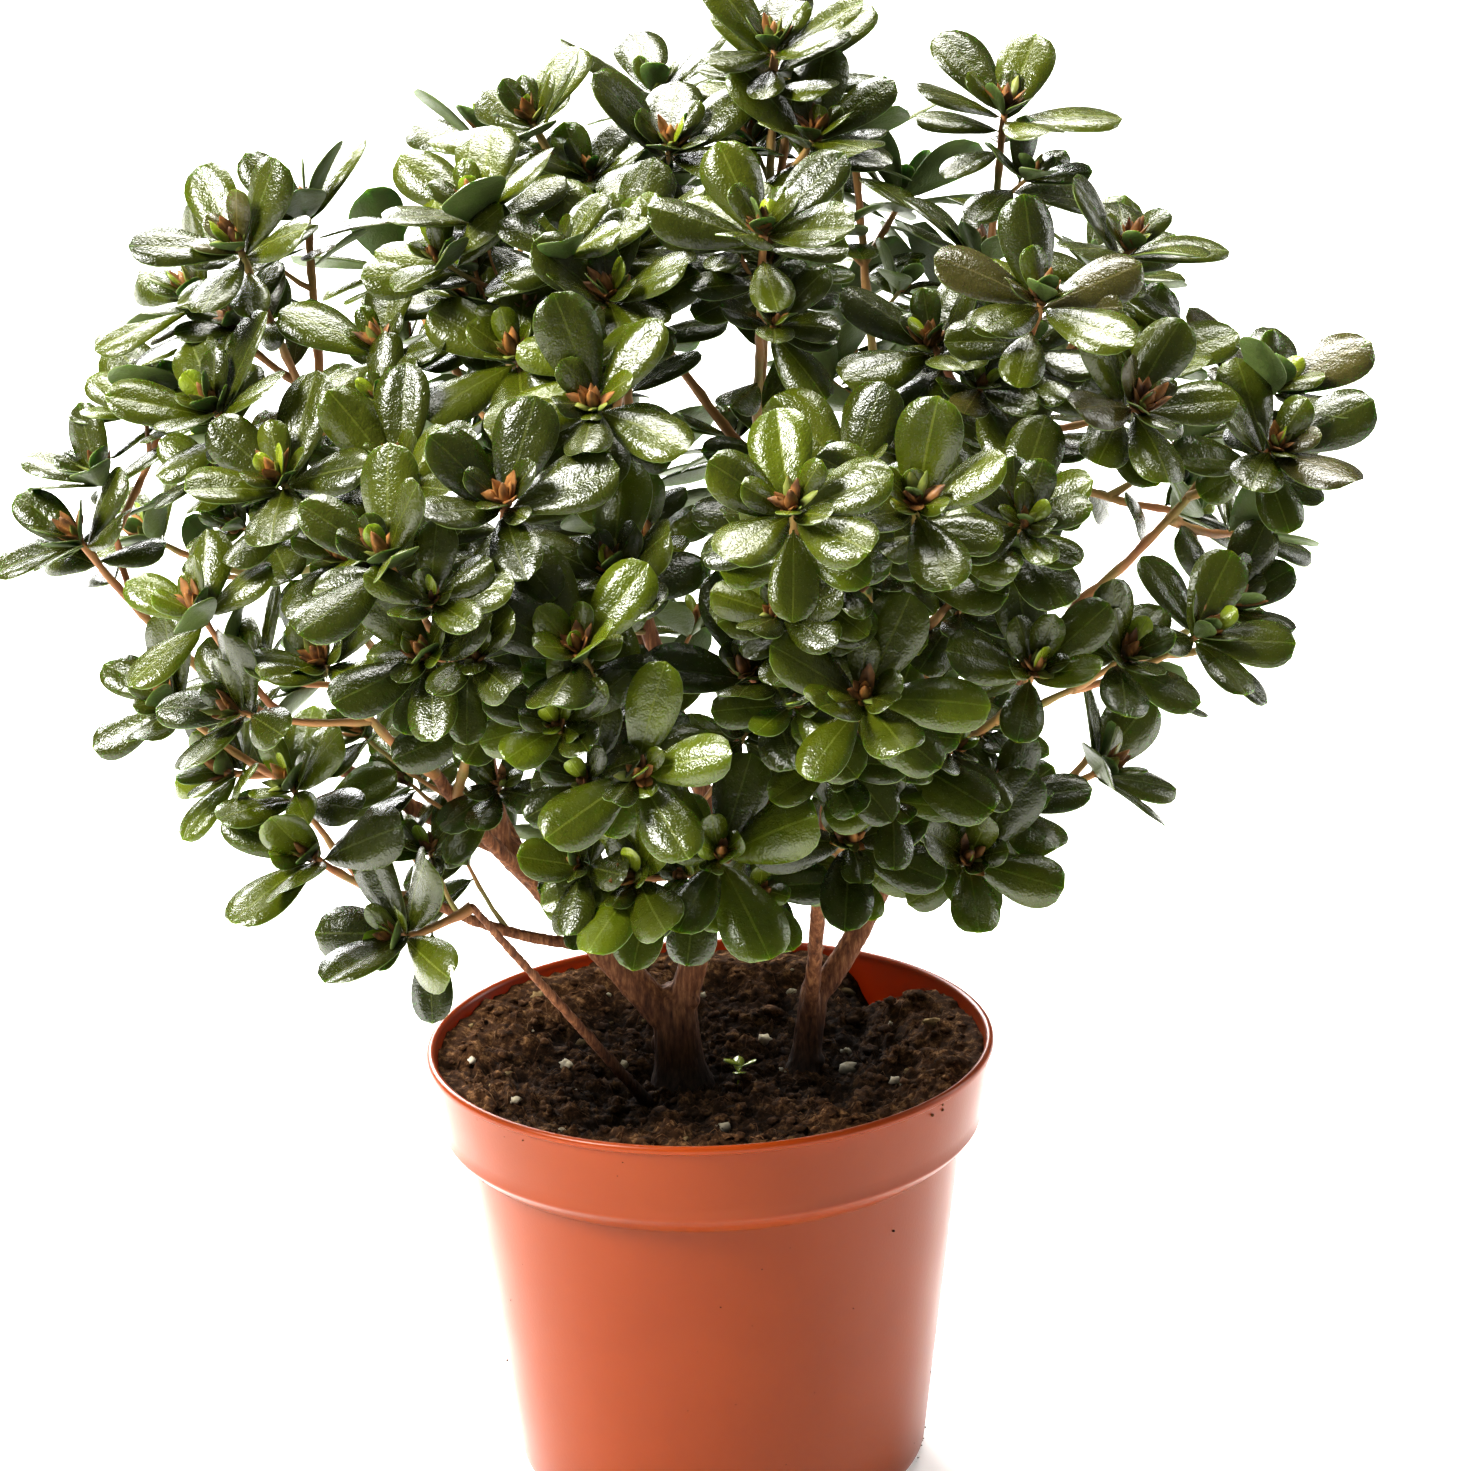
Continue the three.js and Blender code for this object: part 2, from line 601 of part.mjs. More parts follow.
function soilSolid() {
  const geometry = turned(soilProfile());
  const position = geometry.getAttribute("position");
  for (let i = 0; i < position.count; i++) {
    const [x, y, z] = [position.getX(i), position.getY(i), position.getZ(i)];
    if (z > SOIL_LEVEL - 1) position.setZ(i, soilHeight(x, y));
  }
  return solidOf(geometry);
}

// The whole plant, as named meshes

const potPlastic = new THREE.MeshStandardMaterial({ color: 0xc4633a, roughness: 0.45, metalness: 0 });
const soilPeat = new THREE.MeshStandardMaterial({ color: 0x3a2a1e, roughness: 0.95, metalness: 0 });
const bark = new THREE.MeshStandardMaterial({ color: 0x8a5534, roughness: 0.85, metalness: 0 });
const foliage = new THREE.MeshStandardMaterial({ color: 0x35511f, roughness: 0.35, metalness: 0 });

const azalea = new THREE.Group();

function addPiece(name, solid, material) {
  const mesh = new THREE.Mesh(geometryOf(solid), material);
  mesh.name = name;
  azalea.add(mesh);
}

const limbs = growLimbs();
const plant = new Plant(limbs);
plant.grow();

addPiece("pot", potSolid(), potPlastic);
addPiece("soil", soilSolid(), soilPeat);

const limbSpaces = [];
for (const limb of limbs) {
  let solid = limbSpaces.reduce((whole, space) => whole.subtract(space), limbSolid(limb));
  if (limb.order === 0) solid = levelFoot(solid);
  addPiece(limb.name, largestBody(solid), bark);
  limbSpaces.push(limbSolid(limb, GAP));
}
for (const spray of plant.sprays) {
  addPiece(spray.name, spraySolid(spray, limbSpaces), foliage);
}

export default azalea;
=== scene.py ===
import math

import bmesh
import bpy
import numpy as np
from mathutils import Matrix, Vector, noise
from mathutils.bvhtree import BVHTree


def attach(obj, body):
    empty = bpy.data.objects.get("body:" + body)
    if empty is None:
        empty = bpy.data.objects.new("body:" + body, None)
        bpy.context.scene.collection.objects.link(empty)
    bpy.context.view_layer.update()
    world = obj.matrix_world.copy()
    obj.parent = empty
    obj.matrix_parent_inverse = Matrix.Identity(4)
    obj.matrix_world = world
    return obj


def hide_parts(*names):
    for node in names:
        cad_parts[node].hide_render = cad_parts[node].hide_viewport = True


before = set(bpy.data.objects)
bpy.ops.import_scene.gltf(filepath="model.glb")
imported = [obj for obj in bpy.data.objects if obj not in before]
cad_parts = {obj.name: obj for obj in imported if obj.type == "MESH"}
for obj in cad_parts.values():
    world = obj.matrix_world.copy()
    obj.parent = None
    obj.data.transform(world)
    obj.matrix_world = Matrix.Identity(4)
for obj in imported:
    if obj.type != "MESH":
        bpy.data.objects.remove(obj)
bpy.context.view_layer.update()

# A potted azalea. Its stems, boughs, sprays and rosettes grow by the same rule and from the same
# sizes as its solids do; the leaves, side shoots, bark, soil and pot are then made fine.
# Sizes are in millimetres until a mesh is made.
MM = 0.001

# The pot
POT_HEIGHT = 120
POT_TOP_RADIUS = 75
POT_FOOT_RADIUS = 51
POT_CORNER_RADIUS = 54.4
POT_CORNER_HEIGHT = 6
POT_NECK_RADIUS = 65.8
POT_WALL = 1.4
POT_FLOOR = 2
POT_SIDES = 192
SHARP_ANGLE = 40
COLLAR_FOOT = 98
COLLAR_RADIUS = 71
COLLAR_STEP = 5
LIP_HEIGHT = 2.4
DRAIN_HOLES = 8
DRAIN_RADIUS = 4
DRAIN_RING = 37

# The soil
SOIL_LEVEL = 112.7
STEM_DEPTH = 3
SOIL_FLAT_RADIUS = 38
SOIL_RIM_GAP = 0.15
SOIL_HEAP = 6
SOIL_HOLLOW = 15
HOLLOW_ANGLE = 0.82
HOLLOW_NARROWNESS = 90
SOIL_REACH = 68
SOIL_RINGS = 110
SOIL_SIDES = 300
CRUMBS = 1500
BEADS = 84
SPECKS = 150
FIBRES = 620
SEEDLING = (7, -14)

# The crown
HEART = np.array([0, 0, 232.0])
CROWN_CENTRE = np.array([0, 0, 274.0])
CROWN_REACH = np.array([154, 138, 112.0])
ROOM = 0.55

# Wood
BARK_VOXEL = 0.6
LIMB_STEP = 2.5
LIMB_SIDES = 14
KNOB_STEP = 26
KNOB_SIZE = (0.38, 0.6)
TWIG_STEP = 3.2
TWIG_SIDES = 8
STEM_RADIUS = 1.45
SHOOT_RADIUS = 1.15
SHOOT_BOWS = (-0.12, -0.22, 0, -0.32, 0.12, 0.25)
SECOND_SHOOT = 0.42
SIDE_SHOOT = (0.42, 0.62)
SIDE_LENGTH = (30, 46)
SIDE_BOW = -0.1
SIDE_WAYS = 12
TIP_SPACING = 17
GOLDEN_ANGLE = 2.39996

# Leaves of the solids
ROSETTE_LEAVES = 5
LEAF_LENGTH = (28, 34)
LEAF_THICKNESS = 1
LEAF_SPREAD = (54, 82)
TOP_LEAF_SPREAD = (36, 52)
LEAF_HALF_WIDTH = 0.26
LEAF_WIDEST = 0.56
LEAF_RIDGE = 0.4
LEAF_END = 0.96
LEAF_END_WIDTH = 0.42
LEAF_SAG = 0.09
LEAF_TRIES = (
    (0, 0, 1), (0, -16, 1), (18, 0, 1), (-18, 0, 1), (0, 14, 1), (20, -26, 0.92),
    (-20, -26, 0.92), (0, -38, 0.88), (30, 10, 0.85), (-30, 10, 0.85),
)

# Fine growth: true leaf sizes, and the short shoots that fill the crown between the main ones
TRUE_SIZE = 0.9
FILL_SIZE = 0.62
LEAF_RISE = 5
LOW_LEAF_LENGTH = (18, 25)
LOW_LEAF_SPREAD = (72, 102)
INNER_LEAF_LENGTH = (11, 17)
INNER_LEAF_SPREAD = (26, 48)
YOUNG_LEAF_LENGTH = (7, 12)
YOUNG_LEAF_SPREAD = (10, 30)
TWIG_LEAF_LENGTH = (16, 23)
TWIG_LEAF_SPREAD = (50, 78)
TWIG_LEAF_STEP = 11
FILL_SHOOT = (0.3, 0.85)
FILL_LENGTH = (13, 26)
FILL_REACH = 0.96
LIMB_SHOOT = (0.45, 0.98)
LIMB_SHOOT_LENGTH = (18, 34)
FILL_RADIUS = 0.75
FILL_SPACING = 14.5
OPEN_SIDE = 75
OPEN_HEIGHTS = (200, 285)
SIDE_SHARE = 0.6
LIGHT_WAY = np.array([-0.15, -0.75, 0.65])
LIT_FRONT = (70, 110)
LIT_TOP = (315, 70)
AXIS_TURN = 0.65
LEAF_TURN = (0.05, 0.55)
SHADED_TURN = 0.15
LOW_CROWN = 222
LOW_SHARE = 0.18
SIDE_LEAF_SIZE = 0.85
FRESH_SHARE = 0.17
FRESH_SPRAY_SHARE = 0.41
DEEP_SHARE = 0.5
BRONZE_SHARE = 0.22
FRESH_SPRAYS = ("spray_low_left", "spray_low_shoot", "spray_left_low", "spray_front_left",
                "spray_low_front", "spray_low_right", "spray_back_low_left")
BRONZE_SPRAYS = ("spray_right", "spray_crest_right", "spray_left_shoulder", "spray_back_right")
LEAVES_PER_PIECE = 620
SMALL_LEAF = 19

# The tones of the leaves, each from its darker to its lighter colour, and its midrib's colour
TONES = {
    "dark": ((0.019, 0.024, 0.001), (0.046, 0.054, 0.003), (0.066, 0.077, 0.008)),
    "deep": ((0.034, 0.043, 0.001), (0.074, 0.086, 0.004), (0.1, 0.114, 0.012)),
    "fresh": ((0.054, 0.07, 0.001), (0.1, 0.121, 0.005), (0.126, 0.148, 0.012)),
    "young": ((0.16, 0.21, 0.012), (0.26, 0.3, 0.02), (0.3, 0.34, 0.06)),
    "bronze": ((0.034, 0.031, 0.006), (0.07, 0.061, 0.014), (0.1, 0.085, 0.024)),
}

# The camera, as fitted to the photograph, which is 1471 pixels tall
VIEW_AIM = (9.2, 0, 203.9)
VIEW_DISTANCE = 1400
VIEW_PITCH = 18.42
VIEW_ROLL = 1.87
VIEW_FOCAL_PIXELS = 5398
PHOTO_LONG_SIDE = 1471
SENSOR_WIDTH = 36

UP = np.array([0, 0, 1.0])

STEMS = (
    ("stem_left", (-8, -9), (-9, -8, 133), (6.8, 6), 2.6),
    ("stem_right", (24, -5), (28, -3, 134), (4.2, 3.8), 1.5),
    ("low_shoot", (-16, -21), (-58, -60, 181), (1.5, 1), 0.4),
)

LIMBS = (
    ("limb_left", "stem_left", 0.7, (-52, -11, 180), 0.03, (4.8, 3.6)),
    ("limb_mid", "stem_left", 0.75, (5, -13, 178), -0.04, (4.2, 3.2)),
    ("limb_right", "stem_right", 0.9, (62, 2, 200), -0.2, (3.3, 2.5)),
    ("limb_centre", "stem_right", 0.6, (34, -50, 222), 0.04, (2.1, 1.6)),
    ("bough_left_up", "limb_left", 1, (-58, -28, 246), -0.08, (2.8, 1.8)),
    ("bough_left_back", "limb_left", 0.88, (-78, 28, 248), -0.12, (2.5, 1.7)),
    ("bough_far_left", "limb_left", 0.96, (-116, -24, 226), -0.08, (2.3, 1.6)),
    ("bough_left_front", "limb_left", 0.78, (-66, -50, 213), -0.1, (2.1, 1.6)),
    ("bough_left_low", "limb_left", 0.45, (-73, -24, 171), -0.12, (1.7, 1.3)),
    ("bough_mid_up", "limb_mid", 1, (-18, -26, 266), -0.06, (2.8, 1.9)),
    ("bough_top", "limb_mid", 0.93, (18, 10, 286), -0.05, (2.5, 1.8)),
    ("bough_mid_back", "limb_mid", 0.8, (-20, 58, 236), -0.12, (2.2, 1.6)),
    ("bough_front", "limb_mid", 0.66, (-6, -58, 210), -0.12, (2, 1.5)),
    ("bough_right_up", "limb_right", 1, (66, -8, 266), -0.06, (2.3, 1.7)),
    ("bough_right_back", "limb_right", 0.86, (60, 56, 240), -0.1, (2.1, 1.6)),
    ("bough_right_far", "limb_right", 0.93, (98, -16, 242), -0.1, (2, 1.5)),
    ("bough_right_front", "limb_right", 0.76, (62, -50, 220), -0.12, (1.9, 1.5)),
    ("bough_right_low", "limb_right", 0.55, (84, 4, 184), -0.1, (1.6, 1.2)),
)

SPRAYS = (
    ("spray_top", "bough_top", 1, ((25, 28, 380), (30, 52, 368)), 1),
    ("spray_top_left", "bough_top", 0.9, ((-38, 34, 361),), 2),
    ("spray_top_front", "bough_top", 0.78, ((20, -50, 350),), 1),
    ("spray_top_right", "bough_right_up", 0.8, ((84, 40, 359),), 1),
    ("spray_crest_left", "bough_mid_up", 1, ((-51, -20, 351), (-42, -44, 319)), 1),
    ("spray_crest_mid", "bough_mid_up", 0.88, ((-14, -20, 341), (-22, -80, 315)), 1),
    ("spray_crest_right", "bough_right_up", 1, ((87, -60, 333), (60, -40, 318)), 1),
    ("spray_right_shoulder", "bough_right_up", 0.9, ((113, 0, 331),), 1),
    ("spray_left_shoulder", "bough_left_back", 1, ((-111, -10, 341), (-97, 40, 338)), 1),
    ("spray_left_high", "bough_left_up", 1, ((-71, -62, 296), (-76, -26, 318)), 1),
    ("spray_left", "bough_left_up", 0.8, ((-100, -60, 294), (-118, -30, 305)), 1),
    ("spray_far_left", "bough_far_left", 1, ((-156, -15, 268),), 2),
    ("spray_left_low", "bough_far_left", 0.62, ((-121, -22, 206),), 1),
    ("spray_left_front", "bough_left_front", 1, ((-91, -75, 252),), 2),
    ("spray_front_left_high", "bough_left_front", 0.8, ((-43, -100, 298),), 2),
    ("spray_low_left", "bough_left_low", 1, ((-98, -56, 195),), 1),
    ("spray_low_shoot", "low_shoot", 1, ((-78, -62, 174),), 0),
    ("spray_front_left", "bough_front", 1, ((-27, -115, 265), (-19, -92, 278)), 1),
    ("spray_low_front", "bough_front", 0.55, ((5, -92, 204),), 1),
    ("spray_front", "limb_centre", 1, ((40, -115, 251), (12, -90, 250)), 0),
    ("spray_front_high", "limb_centre", 0.8, ((24, -125, 301),), 2),
    ("spray_low_right", "limb_centre", 0.62, ((37, -72, 200),), 1),
    ("spray_front_right_high", "bough_right_front", 0.7, ((53, -110, 297),), 1),
    ("spray_front_right", "bough_right_front", 1, ((82, -94, 250),), 2),
    ("spray_low_right_front", "bough_right_low", 0.55, ((66, -62, 190),), 1),
    ("spray_low_right_far", "bough_right_low", 1, ((106, 8, 189),), 1),
    ("spray_right_low", "bough_right_far", 0.75, ((134, 5, 222),), 1),
    ("spray_right", "bough_right_far", 1, ((148, -10, 296), (141, 12, 251)), 1),
    ("spray_back_far_left", "bough_left_back", 0.72, ((-126, 55, 272),), 2),
    ("spray_back_low_left", "bough_left_back", 0.5, ((-96, 72, 220),), 2),
    ("spray_back_left", "bough_mid_back", 0.85, ((-80, 96, 312), (-50, 74, 348)), 2),
    ("spray_back_low", "bough_mid_back", 0.66, ((-32, 102, 214), (-12, 124, 244)), 1),
    ("spray_back", "bough_mid_back", 1, ((-24, 122, 300), (-6, 82, 358)), 2),
    ("spray_back_right", "bough_right_back", 1, ((42, 120, 290), (46, 92, 342)), 2),
    ("spray_back_far_right", "bough_right_back", 0.84, ((112, 64, 308), (130, 50, 246)), 2),
    ("spray_back_low_right", "bough_right_back", 0.6, ((34, 108, 226), (86, 84, 220)), 1),
)


class Chance:
    """A small repeatable source of chance: the same seeds always give the same plant."""

    def __init__(self, *seeds):
        self.state = 12345
        for seed in seeds:
            self.state = (self.state ^ ((seed + 1) * 2654435761)) & 0xFFFFFFFF
            self.next()

    def next(self):
        self.state = (self.state * 1664525 + 1013904223) & 0xFFFFFFFF
        return self.state / 4294967296

    def between(self, low, high):
        return low + (high - low) * self.next()


def unit(v):
    return v / np.linalg.norm(v)


def across(axis, angle):
    """The unit vector square to an axis, at an angle round it."""
    side = unit(np.cross(axis, UP if abs(axis[2]) < 0.95 else np.array([1.0, 0, 0])))
    return side * math.cos(angle) + np.cross(axis, side) * math.sin(angle)


def outwards(point):
    return unit(point - HEART)


class Arc:
    """A curve from foot to tip whose middle is lifted by a share of its length."""

    def __init__(self, foot, tip, bow):
        self.foot = np.asarray(foot, float)
        self.tip = np.asarray(tip, float)
        self.middle = (self.foot + self.tip) / 2
        self.middle[2] += bow * np.linalg.norm(self.tip - self.foot)
        self.shares = np.linspace(0, 1, 201)
        points = self.raw(self.shares[:, None])
        steps = np.linalg.norm(np.diff(points, axis=0), axis=1)
        self.lengths = np.concatenate([[0], np.cumsum(steps)])
        self.length = self.lengths[-1]

    def raw(self, t):
        return (1 - t) ** 2 * self.foot + 2 * t * (1 - t) * self.middle + t**2 * self.tip

    def moved(self, share):
        return float(np.interp(share * self.length, self.lengths, self.shares))

    def at(self, share):
        return self.raw(self.moved(share))

    def tangent(self, share):
        t = self.moved(share)
        return unit((1 - t) * (self.middle - self.foot) + t * (self.tip - self.middle))


# Shells for testing whether two pieces would touch

SHELL_LENGTH = 12
SHELL_REACH = 1.6
PRISM_FACES = (
    (0, 1, 4), (0, 4, 3), (1, 2, 5), (1, 5, 4), (2, 0, 3), (2, 3, 5), (0, 2, 1), (3, 4, 5),
)
LEAF_FACES = (
    (0, 1, 5), (1, 2, 5), (2, 3, 5), (3, 4, 5), (4, 0, 5), (0, 4, 1), (1, 4, 3), (1, 3, 2),
)


class Shell:
    def __init__(self, points, faces, twig=None):
        self.tree = BVHTree.FromPolygons([tuple(p) for p in points], faces)
        points = np.array(points)
        self.centre = (points.min(axis=0) + points.max(axis=0)) / 2
        self.radius = np.linalg.norm(points - self.centre, axis=1).max()
        self.twig = twig


class Crowd:
    """Shells that can be asked whether any of them touches another one."""

    def __init__(self, shells=()):
        self.shells = []
        self.centres = np.empty((12000, 3))
        self.radii = np.empty(12000)
        for shell in shells:
            self.add(shell)

    def add(self, shell):
        self.centres[len(self.shells)] = shell.centre
        self.radii[len(self.shells)] = shell.radius
        self.shells.append(shell)

    def meets(self, shell, wanted=lambda other: True):
        count = len(self.shells)
        gaps = np.linalg.norm(self.centres[:count] - shell.centre, axis=1)
        for i in np.nonzero(gaps <= self.radii[:count] + shell.radius)[0]:
            other = self.shells[i]
            if wanted(other) and shell.tree.overlap(other.tree):
                return True
        return False


def shells_along(curve, radius_at, start, twig=None):
    steps = max(2, math.floor(curve.length * (1 - start) / SHELL_LENGTH + 0.5))
    rings = []
    for step in range(steps + 1):
        share = start + (1 - start) * step / steps
        centre, axis = curve.at(share), curve.tangent(share)
        reach = radius_at(share) * SHELL_REACH
        rings.append([centre + across(axis, k * math.pi / 1.5) * reach for k in range(3)])
    return [Shell(a + b, PRISM_FACES, twig) for a, b in zip(rings, rings[1:])]


class Leaf:
    def __init__(self, root, along, face, length):
        self.root, self.along, self.face, self.length = root, along, face, length
        self.side = np.cross(face, along)

    def corners(self, start, room):
        """The corners of the leaf's solid, with some room round it."""
        length = self.length
        half = length * LEAF_HALF_WIDTH + room
        end = length * LEAF_END + room
        sag = length * LEAF_SAG

        def at(x, y, z):
            return self.root + self.along * x + self.side * y + self.face * (z - room * 0.5)

        return [
            at(start, 0, 0), at(length * LEAF_WIDEST, -half, -sag / 3),
            at(end, -half * LEAF_END_WIDTH, -sag), at(end, half * LEAF_END_WIDTH, -sag),
            at(length * LEAF_WIDEST, half, -sag / 3),
            at(length * LEAF_RIDGE, 0, LEAF_THICKNESS + room * 1.5),
        ]


def spread_leaf(root, axis, angle, spread, length):
    """A leaf that stands at an angle round its twig and spreads from the twig's axis."""
    radial = across(axis, angle)
    tilt = math.radians(spread)
    along = axis * math.cos(tilt) + radial * math.sin(tilt)
    face = axis * math.sin(tilt) - radial * math.cos(tilt)
    return Leaf(root, along, face, length)


# Stems, limbs and boughs

class Limb:
    """A tapering piece of wood. Only a stem has a flare, where it leaves the soil."""

    def __init__(self, name, curve, radii, flare=0):
        self.name, self.curve, self.radii, self.flare = name, curve, radii, flare

    def radius_at(self, share):
        swell = self.flare * max(0, 1 - share * 2.2) ** 2
        return self.radii[0] + (self.radii[1] - self.radii[0]) * share + swell


def grow_limbs():
    grown = []
    for name, foot, tip, radii, flare in STEMS:
        grown.append(Limb(name, Arc((*foot, SOIL_LEVEL - STEM_DEPTH), tip, 0), radii, flare))
    for name, parent, along, tip, bow, radii in LIMBS:
        carrier = next(limb for limb in grown if limb.name == parent)
        grown.append(Limb(name, Arc(carrier.curve.at(along), tip, bow), radii))
    return grown


class Twig:
    def __init__(self, curve, radius, spray):
        self.curve, self.radius, self.spray = curve, radius, spray
        self.fill = False


class Spray:
    def __init__(self, name, carrier, side_shoots, number):
        self.name, self.carrier, self.side_shoots, self.number = name, carrier, side_shoots, number
        self.twigs = []


class Rosette:
    def __init__(self, twig, index):
        self.twig, self.index = twig, index
        self.tip = twig.curve.at(1)
        self.axis = unit(twig.curve.tangent(1) * 0.5 + outwards(self.tip) * 0.5 + UP * 0.45)


class Plant:
    """Shoots that grow from the boughs into the free space."""

    def __init__(self, limbs):
        self.limbs = limbs
        self.limb_shells = Crowd()
        for limb in limbs:
            for shell in shells_along(limb.curve, limb.radius_at, 0, twig=limb):
                self.limb_shells.add(shell)
        self.sprays = []
        self.rosettes = []
        self.twig_shells = Crowd()

    def fits_twig(self, twig, exempt):
        carrier = twig.spray.carrier

        def along(start):
            return shells_along(twig.curve, lambda _: twig.radius + ROOM, start)

        if any(self.limb_shells.meets(own, lambda o: o.twig is not carrier) for own in along(0.12)):
            return False
        return not any(self.twig_shells.meets(own, lambda o: o.twig is not exempt)
                       for own in along(0.03))

    def add_twig(self, twig):
        twig.spray.twigs.append(twig)
        for shell in shells_along(twig.curve, lambda _: twig.radius, 0.03, twig):
            self.twig_shells.add(shell)
        self.rosettes.append(Rosette(twig, len(self.rosettes)))

    def grow_main(self, spray, tip, exempt, foot):
        for bow in SHOOT_BOWS:
            twig = Twig(Arc(foot, tip, bow), STEM_RADIUS, spray)
            if self.fits_twig(twig, exempt):
                break
        self.add_twig(twig)

    def grow_spray(self, row, number):
        name, limb_name, along, tips, side_shoots = row
        carrier = next(limb for limb in self.limbs if limb.name == limb_name)
        spray = Spray(name, carrier, side_shoots, number)
        self.sprays.append(spray)
        for tip in tips:
            main = spray.twigs[0] if spray.twigs else None
            foot = main.curve.at(SECOND_SHOOT) if main else carrier.curve.at(along)
            self.grow_main(spray, tip, main, foot)

    def grow_side(self, spray, parent, chance, share, lengths, radius, spacing, reach=1.0):
        """A side shoot leaves towards the widest free space that it can reach."""
        along = chance.between(*share)
        foot, axis = parent.curve.at(along), parent.curve.tangent(along)
        spin = chance.between(0, math.tau)
        length = chance.between(*lengths)
        best, best_space = None, spacing
        tips = np.array([rosette.tip for rosette in self.rosettes])
        for k in range(SIDE_WAYS):
            way = across(axis, spin + k * GOLDEN_ANGLE) * 0.85 + axis * 0.5
            way = unit(way + outwards(foot) * 0.4 + UP * 0.12)
            tip = foot + way * length * (1 - 0.03 * k)
            if np.linalg.norm((tip - CROWN_CENTRE) / CROWN_REACH) > reach:
                continue
            space = np.linalg.norm(tips - tip, axis=1).min()
            if space <= best_space:
                continue
            twig = Twig(Arc(foot, tip, SIDE_BOW), radius, spray)
            if not self.fits_twig(twig, parent):
                continue
            best, best_space = twig, space
        if best:
            self.add_twig(best)
        return best

    def grow(self):
        """The shoots of the solids."""
        for number, row in enumerate(SPRAYS):
            self.grow_spray(row, number)
        for turn in range(3):
            for spray in self.sprays:
                if turn < spray.side_shoots:
                    parent = spray.twigs[turn % len(spray.twigs)]
                    chance = Chance(spray.number, turn)
                    self.grow_side(spray, parent, chance, SIDE_SHOOT, SIDE_LENGTH, SHOOT_RADIUS,
                                   TIP_SPACING)

    def fill(self):
        """Short shoots between the main ones, from their twigs and then from limbs and boughs."""
        for turn in range(2):
            for spray in self.sprays:
                parents = [twig for twig in spray.twigs if not twig.fill]
                for number, parent in enumerate(parents):
                    chance = Chance(spray.number, turn, number, 5)
                    self.grow_fill(spray, parent, chance, FILL_SHOOT, FILL_LENGTH)
        for turn in range(3):
            for number, limb in enumerate(self.limbs[len(STEMS):]):
                spray = Spray("fill", limb, 0, number)
                self.grow_fill(spray, limb, Chance(number, turn, 6), LIMB_SHOOT, LIMB_SHOOT_LENGTH)

    def grow_fill(self, spray, parent, chance, share, lengths):
        """A fill shoot, but fewer at the sides of the crown."""
        tip = parent.curve.at(1)
        if is_open_side(tip) or abs(tip[0]) > OPEN_SIDE and chance.next() > SIDE_SHARE:
            return
        twig = self.grow_side(spray, parent, chance, share, lengths, FILL_RADIUS, FILL_SPACING,
                              FILL_REACH)
        if twig:
            twig.fill = True


def is_open_side(point):
    """The crown has more sky at its sides, a little below its middle."""
    return abs(point[0]) > OPEN_SIDE and OPEN_HEIGHTS[0] < point[2] < OPEN_HEIGHTS[1]


def is_sparse(point):
    return point[2] < LOW_CROWN or is_open_side(point)


def lit_share(point):
    """How far a part of the crown turns to the light: more in front and at the top."""
    front = (LIT_FRONT[0] - point[1]) / LIT_FRONT[1]
    top = max(0, point[2] - LIT_TOP[0]) / LIT_TOP[1]
    return min(1, max(SHADED_TURN, front + top))


def turn_to_light(leaf, chance):
    """A leaf rolls round its own length towards the light."""
    face = leaf.face + LIGHT_WAY * chance.between(*LEAF_TURN) * lit_share(leaf.root)
    leaf.face = unit(face - leaf.along * face.dot(leaf.along))
    leaf.side = np.cross(leaf.face, leaf.along)


